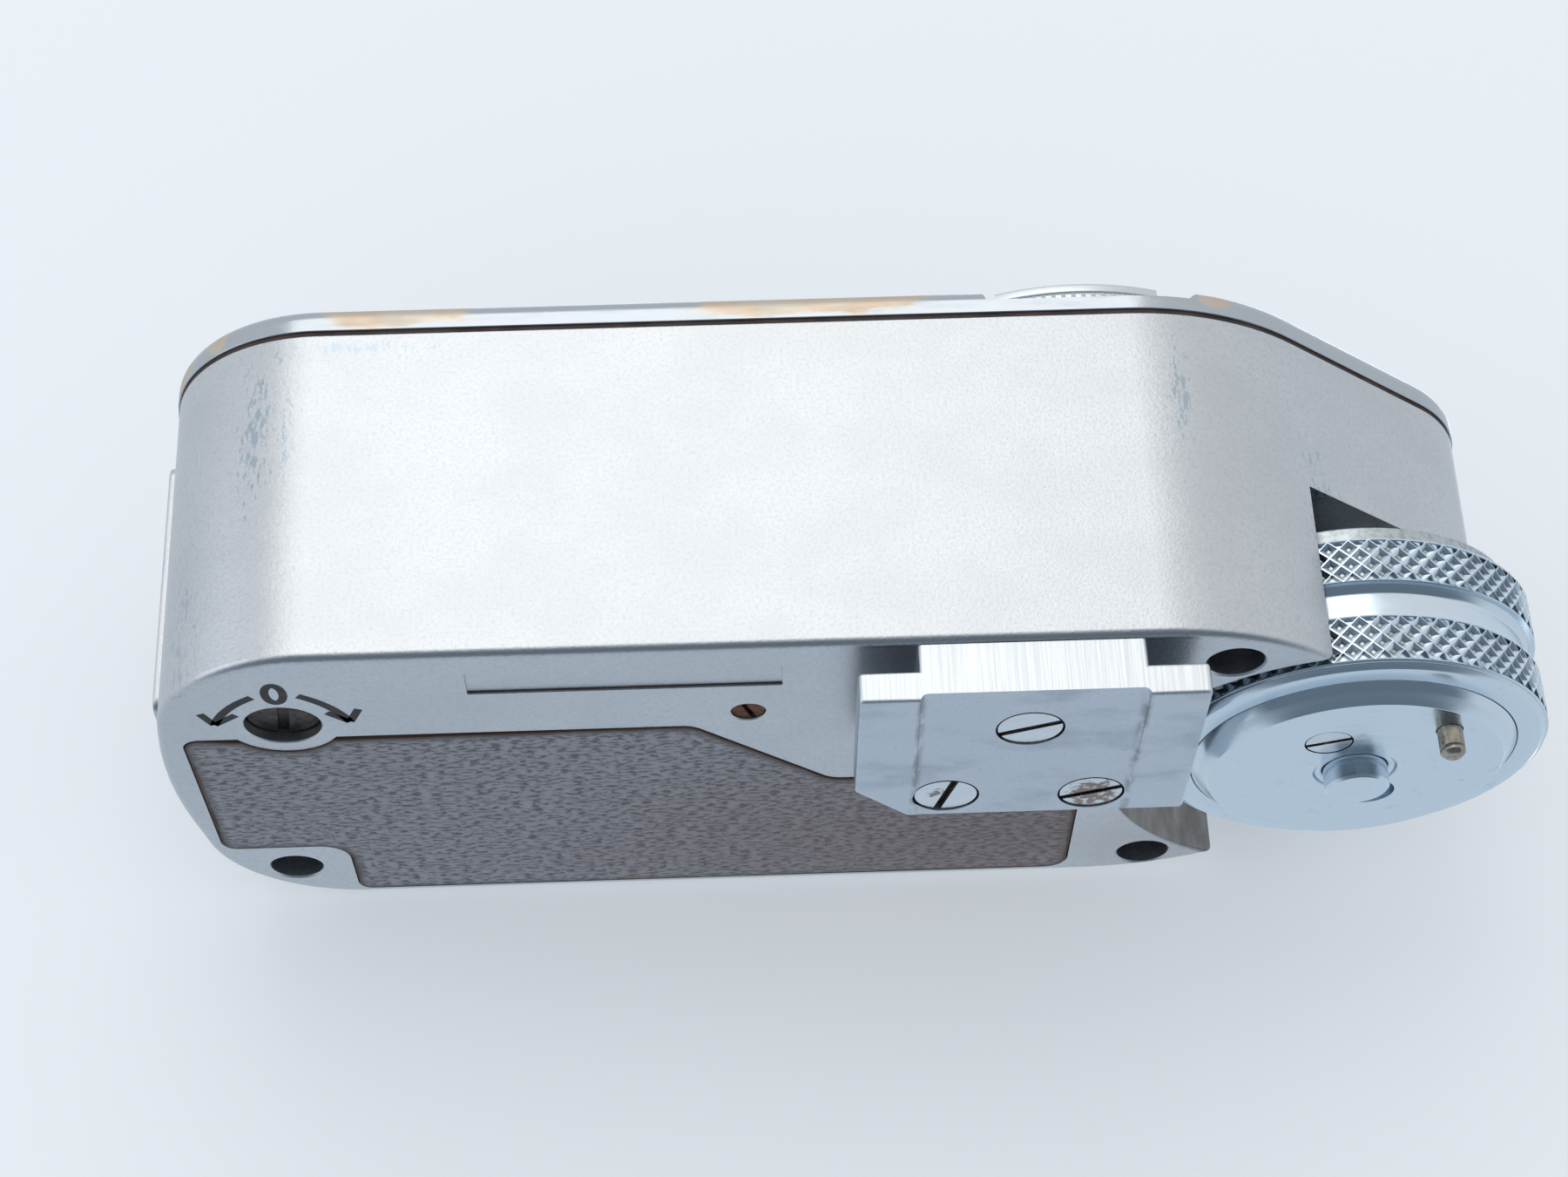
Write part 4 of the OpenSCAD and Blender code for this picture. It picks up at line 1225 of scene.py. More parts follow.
def paint_strip(line, width, low=None, thick=0.04):
    """A flat stroke of paint along a line of plan points, with squared ends."""
    low = FLOOR_Z - 0.012 if low is None else low
    left, right = [], []
    for i, p in enumerate(line):
        ahead = line[min(i + 1, len(line) - 1)] - line[max(i - 1, 0)]
        if line[0] == line[-1] and i in (0, len(line) - 1):
            ahead = line[1] - line[-2]
        side = Vector((-ahead.y, ahead.x)).normalized() * width / 2
        left.append(p + side)
        right.append(p - side)
    rings = [[(*a, low), (*b, low), (*b, low + thick), (*a, low + thick)] for a, b in zip(left, right)]
    return loft("strip", rings)


def case_shape(inset):
    """Plan of the case."""
    return outline(CASE_CORNERS, CASE_RADII, inset, step=3)


def inlay_shape(inset):
    """Plan of the leatherette, cut round the zero adjuster by the caller."""
    return outline(INLAY_CORNERS, INLAY_RADII, inset, step=8)


def make_case(sizes):
    """The case: rounded lower edge, notch for the wheel, wells, the inlay's bed and the cell's window."""
    rim = CASE_HIGH.z
    inside = FLOOR_Z + CASE_FLOOR
    shell = prism("case", case_shape, edge_levels(FLOOR_Z, rim, sizes.edge_radius / MM, 0.12))
    hollow = prism("hollow", case_shape, [(inside, WALL), (rim + 1, WALL)])
    bosses = [
        post(NOTCH_AT, NOTCH_R + WALL, inside - 1, NOTCH_TOP + 1),
        post(ZERO_AT, 3.2, inside - 1, inside + 1.1),
    ]
    bosses += [post(at, 2.6, inside - 1, rim + 2, 48) for at in CASE_SCREW_SPOTS]
    cut(hollow, *bosses)
    bed = prism(
        "bed", inlay_shape,
        [(FLOOR_Z - 1, -0.05), (FLOOR_Z, -0.05), (FLOOR_Z + 0.08, 0), (FLOOR_Z + INLAY_DEPTH, 0)],
    )
    cut(bed, post(ZERO_AT, ZERO_RING_R, FLOOR_Z - 2, FLOOR_Z + 2))
    label = prism(
        "label", rounded(rectangle(*LABEL), 0.15, step=4), [(FLOOR_Z - 1, 0), (FLOOR_Z + 0.15, 0.05)],
    )
    window = block((CELL_LOW.x, FRONT_Y - WALL - 1, CELL_LOW.y), (CELL_HIGH.x, FRONT_Y + 1, CELL_HIGH.y))
    notch = lathe(
        "notch", NOTCH_AT,
        [
            (0, 1), (NOTCH_R + 2.45, 1), (NOTCH_R + 0.15, FLOOR_Z), (NOTCH_R, FLOOR_Z + 0.15),
            (NOTCH_R, NOTCH_TOP), (0, NOTCH_TOP),
        ],
        segments=180,
    )
    wells = [post(at, 1.55, FLOOR_Z, FLOOR_Z + 2.9, flare=0.1) for at in CASE_SCREW_SPOTS]
    wells += [
        post(ZERO_AT, 2.1, FLOOR_Z, inside + 0.1, flare=0.06),
        post(SCALE_SCREW_AT, 0.95, FLOOR_Z, FLOOR_Z + 0.8, 48, flare=0.06),
        post(WHEEL_AT, 2.6, NOTCH_TOP - 1, NOTCH_TOP + 3),
        post(ZERO_AT, 1.25, inside, inside + 2, 48),
        post(SCALE_SCREW_AT, 0.65, FLOOR_Z, inside + 1, 24),
    ]
    wells += [post(at, 0.9, FLOOR_Z + 1, rim + 1, 32) for at in CASE_SCREW_SPOTS]
    wells += [post(spot[:2], 0.85, FLOOR_Z - 1, inside + 1, 32) for spot in FOOT_SCREWS]
    cut(shell, hollow)
    cut(shell, bed, label, window)
    cut(shell, notch)
    cut(shell, *wells)
    return shell


def make_cover(sizes):
    """The top cover: rolled edge, dial recess with its finger opening, and the scale's window."""
    low, high = COVER_LOW.z, COVER_HIGH.z
    cover = prism(
        "cover", case_shape, edge_levels(low, high, 0.06, sizes.cover_radius / MM, inset=-0.1, steps=8),
    )
    below = prism("below", case_shape, [(low - 1, WALL), (DIAL_RECESS_Z, WALL)])
    cut(below, post(DIAL_AT, 14.75, low - 2, high + 1))
    cut(cover, below)
    recess = lathe(
        "recess", DIAL_AT,
        [
            (0, DIAL_RECESS_Z), (13.75, DIAL_RECESS_Z), (13.75, high - 0.2), (13.95, high),
            (13.95, high + 1), (0, high + 1),
        ],
        segments=180,
    )
    opening = loft("opening", [
        [(-1.0, y, DIAL_RECESS_Z), (10.4, y, DIAL_RECESS_Z), (11.0, y, high - 0.15), (11.3, y, high + 0.2),
         (-1.6, y, high + 0.2), (-1.2, y, high - 0.15)] for y in (REAR_Y - 1, DIAL_AT.y)
    ])
    cut(cover, recess)
    cut(cover, opening)
    cut(
        cover,
        prism(
            "scale_opening", scale_shape,
            [(low - 1, 0), (high - 0.35, 0), (high + 0.1, -0.45), (high + 1, -0.45)],
        ),
    )
    return cover


def scale_shape(inset):
    """Plan of the scale's opening: a ring sector round the needle's pivot."""
    inner, outer, half = 13.5 + inset, 23.6 - inset, NEEDLE_SWEEP / 2 + 3
    spread = [half * k / 12 for k in range(-12, 13)]
    rim = [polar(outer, a) for a in spread] + [polar(inner, a) for a in spread[::-1]]
    squeeze = 1 - inset / 15 / math.radians(half)
    turn = math.radians(SCALE_TURN)
    return [PIVOT_AT + turned(Vector((p.length, 0)), math.atan2(p.y, p.x) * squeeze + turn) for p in rim]


def make_inlay():
    """The leatherette: a fine sheet filled to its outline, grained by the tree, with its rim turned up."""
    gap = 0.06
    hole = circle(ZERO_AT, ZERO_RING_R + gap, 48)
    kept = [p for p in inlay_shape(gap) if (p - ZERO_AT).length > ZERO_RING_R + gap]
    loops = trimmed_loop(kept, hole)
    # Spacing of the sheet's points, fine enough to hold the grain
    across, along = 0.17, 0.095
    low_x, high_x = min(p.x for p in loops), max(p.x for p in loops)
    low_y, high_y = min(p.y for p in loops), max(p.y for p in loops)
    inside = []
    for row in range(int((high_y - low_y) / along)):
        for column in range(int((high_x - low_x) / across)):
            p = Vector((low_x + (column + 0.5 * (row % 2)) * across, low_y + row * along))
            reach = rim_distance(p, loops)
            if reach > 0.12:
                inside.append((p, reach))
    edges = [(i, (i + 1) % len(loops)) for i in range(len(loops))]
    points = loops + [p for p, _ in inside]
    made = geometry.delaunay_2d_cdt(points, edges, [], 1, 1e-5)
    low, high = FLOOR_Z - 0.05, FLOOR_Z + INLAY_DEPTH - 0.01
    reaches = {i + len(loops): reach for i, (_, reach) in enumerate(inside)}
    mesh = bpy.data.meshes.new("inlay")
    mesh.from_pydata([Vector((p.x, p.y, low)) * MM for p in made[0]], [], [tuple(f) for f in made[2]])
    values = [min(1.0, reaches.get(origins[0], 0.0) / 0.9) if origins else 0.0 for origins in made[3]]
    mesh.attributes.new("rim", "FLOAT", "POINT").data.foreach_set("value", values)
    work = bmesh.new()
    work.from_mesh(mesh)
    open_edges = [e for e in work.edges if e.is_boundary]
    raised = bmesh.ops.extrude_edge_only(work, edges=open_edges)["geom"]
    for v in [g for g in raised if isinstance(g, bmesh.types.BMVert)]:
        v.co.z = high * MM
    bmesh.ops.holes_fill(work, edges=[e for e in work.edges if e.is_boundary], sides=0)
    bmesh.ops.recalc_face_normals(work, faces=work.faces)
    work.to_mesh(mesh)
    work.free()
    return linked("inlay", mesh)


def trimmed_loop(line, hole):
    """The inlay's outline with the bite of the zero adjuster's ring taken out of its first side."""
    cut_y = min(p.y for p in line)
    bite = [p for p in hole if p.y > cut_y + 0.01]
    bite.sort(key=lambda p: math.atan2(p.y - ZERO_AT.y, p.x - ZERO_AT.x), reverse=True)
    first = max((i for i, p in enumerate(line) if p.x < ZERO_AT.x and abs(p.y - cut_y) < 0.02), default=0)
    return line[:first + 1] + bite + line[first + 1:]


def rim_distance(p, loop):
    """Distance from a point to the nearest side of a loop, or -1 outside it."""
    best, inside = 1e9, False
    previous = loop[-1]
    for corner in loop:
        side = corner - previous
        length = side.length_squared
        t = 0.0 if length == 0 else max(0.0, min(1.0, (p - previous).dot(side) / length))
        best = min(best, (p - previous - side * t).length_squared)
        if (corner.y > p.y) != (previous.y > p.y):
            if p.x < previous.x + side.x * (p.y - previous.y) / side.y:
                inside = not inside
        previous = corner
    return math.sqrt(best) if inside else -1.0


class MeterOperator:
    """What the meter's operators share."""

    bl_options = {"REGISTER", "UNDO"}

    @classmethod
    def poll(cls, context):
        return context.mode == "OBJECT"


class BuildCase(MeterOperator, bpy.types.Operator):
    """Builds the case shell with its notch, wells and recesses, and the marks beside the zero adjuster"""

    bl_idname = "meter.build_case"
    bl_label = "Case"

    def execute(self, context):
        shell = make_case(context.scene.meter_sizes)
        settle(
            shell, "case_shell", finish(satin_chrome), "root", "satin_chrome_case", "body_shell", crease=28,
        )
        settle(zero_marks(), "zero_marks", black_paint(), "root", "satin_chrome_case")
        # Painted shade: a dark strip in the gap between case and cover, and a dark line along the label
        # recess's upper edge.
        grime = finish(coating, "packed_grime", "#2A1D19", "#41302A", 0.7)
        seam = prism("seam", case_shape, [(CASE_HIGH.z - 0.05, 0.02), (COVER_LOW.z + 0.05, 0.02)])
        cut(seam, prism("inside", case_shape, [(CASE_HIGH.z - 1, WALL), (COVER_LOW.z + 1, WALL)]))
        line = paint_strip([Vector((-29.8, -3.02)), Vector((-13.1, -3.02))], 0.16, FLOOR_Z + 0.12)
        settle(join("grime", [seam, line]), "packed_grime", grime, "root", "satin_chrome_case")
        return {"FINISHED"}


class BuildCover(MeterOperator, bpy.types.Operator):
    """Builds the top cover with its dial recess and the opening for the scale"""

    bl_idname = "meter.build_cover"
    bl_label = "Top cover"

    def execute(self, context):
        cover = make_cover(context.scene.meter_sizes)
        settle(
            cover, "cover_plate", finish(brassed_chrome), "root", "bright_chrome_cover", "top_cover",
            crease=28,
        )
        return {"FINISHED"}


class BuildInlay(MeterOperator, bpy.types.Operator):
    """Builds the grained leatherette under the case"""

    bl_idname = "meter.build_inlay"
    bl_label = "Leatherette"

    def execute(self, context):
        sizes = context.scene.meter_sizes
        leather = finish(pressed_leatherette)
        sheet = grown("grained_leatherette", grain_tree, base=make_inlay(), length=sizes.grain_length,
                      depth=sizes.grain_depth, material=leather)
        settle(sheet, "grained_leatherette", leather, "root", "leatherette", "leatherette", crease=60)
        return {"FINISHED"}


class BuildFoot(MeterOperator, bpy.types.Operator):
    """Builds the shoe foot and its three screws"""

    bl_idname = "meter.build_foot"
    bl_label = "Shoe foot"

    def execute(self, context):
        low, high = FOOT_LOW, FOOT_HIGH
        wing, neck, fillet = 1.8, 6, 0.4

        def bed(y):
            share = (y - low.y) / (high.y - low.y)
            return CHANNEL_DEPTH[0] + (CHANNEL_DEPTH[1] - CHANNEL_DEPTH[0]) * share

        def channel_ring(y):
            turns = [math.pi / 2 * k / 6 for k in range(7)]
            right = [
                (neck - fillet + fillet * math.cos(a), bed(y) - fillet + fillet * math.sin(a))
                for a in turns
            ]
            left = [(-x, z) for x, z in right[::-1]]
            return [(x, y, z) for x, z in [(neck, -2), *right, *left, (-neck, -2)]]

        plan = (
            (low.x, low.y), (high.x, low.y), (high.x, high.y), (low.x + 2.96, high.y),
            (low.x, high.y - 3.25),
        )
        wings = prism("wings", rounded(plan, 0.3), edge_levels(0, wing, 0.22, 0.22, steps=4))
        core = prism("core", rounded(rectangle(-neck, low.y, neck, high.y), 0.25), [(0.6, 0), (high.z, 0)])
        combine(wings, [core], "UNION")
        cut(wings, loft("channel", [channel_ring(low.y - 1), channel_ring(high.y + 1)]))
        for x, y, _ in FOOT_SCREWS:
            cut(wings, post((x, y), 1.85, -1, bed(y) + 1))
            cut(wings, post((x, y), 0.85, -1, 5, 48))
        settle(wings, "shoe_foot", finish(foot_steel), "root", "satin_steel_foot", "foot")
        head = screw(1.75, 0.95, 0.44, 0.06, 0.8, FLOOR_Z + CASE_FLOOR - 0.15 - bed(high.y))
        places = [(x, y, bed(y) + 0.03, turn) for x, y, turn in FOOT_SCREWS]
        steel = finish(screw_steel)
        screws = set_out("foot_screw_heads", head, places, steel)
        settle(screws, "foot_screw_heads", steel, "root", "worn_steel_screws", "foot_screws")
        return {"FINISHED"}


class BuildCaseScrews(MeterOperator, bpy.types.Operator):
    """Builds the screws that close the case, the small scale screw and the zero adjuster's head"""

    bl_idname = "meter.build_case_screws"
    bl_label = "Case screws"

    def execute(self, context):
        low, high = node_box("case_screws")
        head = screw(1.42, 1.2, 0.5, 0.08, 0.75, high.z - low.z)
        places = [(x, y, low.z, 35 + 50 * i) for i, (x, y) in enumerate(CASE_SCREW_SPOTS)]
        dark = finish(worn_metal, "blackened_steel", "#4A403B", "#241D1A", 0.28)
        screws = set_out("case_screw_set", head, places, dark)
        settle(screws, "case_screw_set", dark, "root", "worn_steel_screws", "case_screws")
        low, high = node_box("scale_post_screw")
        small = screw(0.92, 0.7, 0.3, 0.05, 0.6, high.z - low.z)
        rusty = finish(worn_metal, "rusty_steel", "#7A5642", "#4A3226", 0.5)
        post_screw = set_out("scale_screw_head", small, [(*SCALE_SCREW_AT, low.z + 0.02, 70)], rusty)
        settle(post_screw, "scale_screw_head", rusty, "root", "worn_steel_screws", "scale_post_screw")
        adjuster = screw(2.02, 0.65, 0.62, 0.1, 1.2, CASE_FLOOR + 1.5 - 0.6)
        zero = set_out("zero_head", adjuster, [(*ZERO_AT, FLOOR_Z + 0.6, 97)], dark)
        throw = (ZERO_AT - PIVOT_AT).normalized() * 0.6
        pin = post(ZERO_AT + throw, 0.35, FLOOR_Z + CASE_FLOOR + 1.4, node_box("zero_screw")[1].z, 24)
        zero = join("zero_head", [zero, pin])
        settle(zero, "zero_head", dark, "zero_adjuster", "worn_steel_screws", "zero_screw")
        return {"FINISHED"}


class BuildEndPlate(MeterOperator, bpy.types.Operator):
    """Builds the plate on the left end and its rivets"""

    bl_idname = "meter.build_end_plate"
    bl_label = "End plate"

    def execute(self, context):
        low, high = node_box("end_plate")
        plate = prism("plate", rounded(rectangle(low.y, low.z, high.y, high.z), 0.8, step=9),
                      [(low.x, 0.16), (low.x + 0.05, 0.05), (low.x + 0.16, 0), (high.x, 0)], plane="YZ")
        settle(plate, "end_plate_cap", finish(satin_chrome), "root", "satin_chrome_case", "end_plate")
        crown = node_box("end_plate_rivets")[0].x
        dome = [(0, crown), (0.45, crown + 0.03), (0.8, crown + 0.1), (1, crown + 0.24), (0, crown + 0.3)]
        rivet = lathe("rivet", (0, 0), dome, segments=48, axis="X")
        steel = finish(worn_metal, "rivet_steel", "#C2BFB8", "#A7A39B", 0.28)
        mid = (low.y + high.y) / 2
        rivets = set_out("rivet_heads", rivet, [(0, mid, z, 0) for z in (9, 19.6)], steel)
        settle(rivets, "rivet_heads", steel, "root", "worn_steel_screws", "end_plate_rivets")
        return {"FINISHED"}


class BuildCell(MeterOperator, bpy.types.Operator):
    """Builds the frame round the light cell and the panel of small lenses in front of it"""

    bl_idname = "meter.build_cell"
    bl_label = "Light cell"

    def execute(self, context):
        sizes = context.scene.meter_sizes
        low, high = node_box("front_bezel")
        bezel = prism("bezel", rounded(rectangle(low.x, low.z, high.x, high.z), 1.4, step=9),
                      [(low.y, 0), (high.y - 0.12, 0), (high.y, 0.12)], plane="XZ")
        window = rectangle(*CELL_LOW, *CELL_HIGH)
        hole = prism("hole", rounded(window, 0.5),
                     [(low.y - 1, 0), (high.y - 0.15, 0), (high.y, -0.15), (high.y + 1, -0.15)], plane="XZ")
        cut(bezel, hole)
        settle(bezel, "cell_frame", finish(satin_chrome), "root", "satin_chrome_case", "front_bezel")
        acrylic = finish(clear_glass, "lens_acrylic", "#EDF3F6", 0.03)
        face = node_box("lens_panel")[1].y
        pitch = sizes.lens_pitch / MM
        radius = pitch * 0.5
        dome = [(0, -0.2)] + [(radius * math.cos(a), 0.55 * math.sin(a)) for a in
                              [math.pi / 2 * k / 5 for k in range(5)]] + [(0, 0.55)]
        lens = lathe("lens", (0, 0), [(r, z) for r, z in dome], segments=20)
        lens.data.transform(Matrix.Rotation(-math.pi / 2, 4, "X"))
        across = int((CELL_HIGH.x - CELL_LOW.x) / pitch)
        up = int((CELL_HIGH.y - CELL_LOW.y) / pitch)
        spare = CELL_HIGH - CELL_LOW - Vector((across, up)) * pitch
        start = CELL_LOW + spare / 2 + Vector((pitch, pitch)) / 2
        grid = [
            (start.x + i * pitch, face - 0.58, start.y + k * pitch, 0)
            for i in range(across) for k in range(up)
        ]
        lenses = set_out("lens_rows", lens, grid, acrylic)
        back = prism(
            "back", rounded(window, 0.4), [(FRONT_Y - WALL - 0.6, 0.1), (face - 0.56, 0.1)], plane="XZ",
        )
        panel = join("lens_panel_clear", [back, lenses])
        settle(panel, "lens_panel_clear", acrylic, "root", "clear_window", "lens_panel", crease=40)
        dress(finish(selenium_layer), "selenium_cell")
        return {"FINISHED"}


def knurled_band(name, low, high, sizes):
    """One band of pressed diamonds round the wheel: a net of ridges over small pits."""
    rim = node_box("wheel")[1].x - WHEEL_AT.x
    depth = sizes.knurl_depth / MM
    around = round(math.tau * rim / (sizes.knurl_pitch / MM))
    wide = math.tau * rim / around / 2
    rows = round((high - low) / (wide * 0.92)) - 1
    tall = (high - low) / (rows + 1)
    corners = [(-wide, 0), (0, -tall), (wide, 0), (0, tall)]
    levels = [(-0.05, 1.01), (depth, 1.01), (depth, 0.9), (0.02, 0.22)]
    stud = loft("stud", [[(rise, y * share, z * share) for y, z in corners] for rise, share in levels])
    metal = finish(knurled_chrome)
    centre = Vector((WHEEL_AT.x, WHEEL_AT.y, low + tall)) * MM
    band = grown(name, rings_tree, piece=stud, centre=centre, radius=(rim - depth) * MM, row_gap=tall * MM,
                 round=around, rows=rows, material=metal)
    bpy.data.objects.remove(stud)
    return settle(band, name, metal, "coupling_wheel", "bright_chrome_wheel", crease=10)


class BuildWheel(MeterOperator, bpy.types.Operator):
    """Builds the coupling wheel with its two knurled bands, its disc, screw and drive pin"""

    bl_idname = "meter.build_wheel"
    bl_label = "Coupling wheel"

    def execute(self, context):
        sizes = context.scene.meter_sizes
        low, high = node_box("wheel")
        rim = high.x - WHEEL_AT.x
        under = rim - sizes.knurl_depth / MM - 0.02
        section = [
            (9.15, low.z), (rim - 0.5, low.z), (rim - 0.05, low.z + 0.4), (under, low.z + 0.45), (under, 5.9),
            (rim - 0.7, 6.2), (rim - 0.7, 7.65), (under, 8.1), (under, 10.6), (9.7, 10.65), (9.7, high.z),
            (6, high.z), (6, 5.2), (2.9, 5.2), (2.9, 11.2), (1.85, 11.2), (1.85, 3.9), (9.15, 3.9),
        ]
        radii = [
            0.05, 0.12, 0.1, 0.02, 0.05, 0.2, 0.3, 0.05, 0.05, 0.02, 0.2, 0.1, 0.2, 0.2, 0.1, 0.05, 0.05,
            0.05,
        ]
        wheel = lathe("wheel", WHEEL_AT, section, radii, segments=180)
        settle(wheel, "wheel_body", wheel_finish(), "coupling_wheel", "bright_chrome_wheel", "wheel")
        collar = lathe(
            "collar", WHEEL_AT, [(9.6, 10.75), (9.8, 10.75), (10, 10.9), (10, high.z), (9.6, high.z)],
            (0.02, 0.02, 0.04, 0.15, 0.02), segments=180,
        )
        settle(
            collar, "wheel_collar", finish(worn_metal, "satin_collar", "#BDC3C6", "#A0A7AB", 0.34, 0.3),
            "coupling_wheel", "bright_chrome_wheel",
        )
        knurled_band("lower_knurl", low.z + 0.42, 5.92, sizes)
        knurled_band("upper_knurl", 8.06, 10.62, sizes)
        lips = []
        for z in (low.z + 0.36, 5.82, 8.02, 10.52):
            lip = [(under - 0.1, z), (rim - 0.04, z), (rim, z + 0.05), (rim - 0.04, z + 0.14)]
            lip.append((under - 0.1, z + 0.14))
            lips.append(lathe("lip", WHEEL_AT, lip, segments=180))
        settle(
            join("knurl_lips", lips), "knurl_lips", wheel_finish(), "coupling_wheel", "bright_chrome_wheel",
        )
        disc_low = node_box("wheel_plate")[0].z
        disc = lathe(
            "disc", WHEEL_AT, [(2.35, disc_low), (8.2, disc_low), (9.1, 2.85), (9.1, 3.85), (2.35, 3.85)],
            (0.06, 0.05, 0.03, 0.03, 0.03), segments=180,
        )
        cut(disc, post(WHEEL_AT + Vector((1.2, 2.8)), 1.5, disc_low - 1, disc_low + 1))
        bush = lathe(
            "bush", WHEEL_AT,
            [
                (1.86, disc_low + 0.16), (1.95, disc_low + 0.1), (2.2, disc_low + 0.1),
                (2.34, disc_low + 0.24), (2.34, 3.8), (1.86, 3.8),
            ],
            segments=96,
        )
        settle(bush, "hub_bush", wheel_finish(), "coupling_wheel", "bright_chrome_wheel")
        screw_at = middle("plate_screw")
        pin_at = middle("coupling_pin")
        cut(
            disc, post(screw_at, 1.35, disc_low - 1, disc_low + 0.75),
            post(pin_at, 0.76, disc_low - 1, 5, 48),
        )
        settle(disc, "wheel_disc", wheel_finish(), "coupling_wheel", "bright_chrome_wheel", "wheel_plate")
        low, high = node_box("plate_screw")
        head = screw(1.29, 0.7, 0.32, 0.04, 0.6, high.z - low.z - 0.02)
        steel = finish(screw_steel)
        fastener = set_out("disc_screw", head, [(*screw_at, disc_low + 0.02, -19)], steel)
        settle(fastener, "disc_screw", steel, "coupling_wheel", "turned_steel", "plate_screw")
        tip = node_box("coupling_pin")[0].z
        pin = lathe(
            "pin", pin_at,
            [
                (0, tip), (0.42, tip), (0.48, tip + 0.03), (0.68, tip + 0.24), (0.7, tip + 0.3),
                (0.7, tip + 0.5), (0.67, tip + 0.56), (0.7, tip + 0.62), (0.7, 3.8), (0, 3.8),
            ],
            segments=64,
        )
        settle(pin, "drive_pin", finish(worn_metal, "worn_nickel_silver", "#ACA497", "#8A8175", 0.24, 0.35),
               "coupling_wheel", "pin_metal", "coupling_pin")
        return {"FINISHED"}


class BuildSpindle(MeterOperator, bpy.types.Operator):
    """Builds the lift spring in the wheel and finishes the spindle and the gears"""

    bl_idname = "meter.build_spindle"
    bl_label = "Spindle and gears"

    def execute(self, context):
        low, high = node_box("lift_spring")
        wire = 0.3
        steel = finish(worn_metal, "spring_wire", "#A9AEB2", "#7F858A", 0.3)
        spring = grown(
            "wound_lift_spring", spring_tree, centre=Vector((*WHEEL_AT, low.z + wire)) * MM,
            radius=4.3 * MM, height=(high.z - low.z - 2 * wire) * MM, turns=6.0, wire=wire * MM,
            material=steel,
        )
        settle(spring, "wound_lift_spring", steel, "spindle", "spring_steel", "lift_spring")
        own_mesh(spring)
        dress(wheel_finish(), "spindle")
        dress(
            finish(worn_metal, "turned_steel", "#B4B9BD", "#8D9296", 0.22), "spindle_clip", "idler_stud",
            "dial_shaft", "coil_pivots", "zero_clip", "gear_plate_screws", "bridge_screws",
        )
        dress(
            finish(worn_metal, "cut_brass", "#D0B474", "#A98A4B", 0.28), "spindle_gear", "idler_gear",
            "dial_gear",
        )
        dress(
            finish(worn_metal, "plain_brass", "#C8AC6E", "#9F8246", 0.34), "gear_plate", "spindle_bush",
            "core_bracket", "lower_bridge", "upper_bridge", "jewel_screws", "zero_arm",
            "cell_contact_spring",
        )
        return {"FINISHED"}


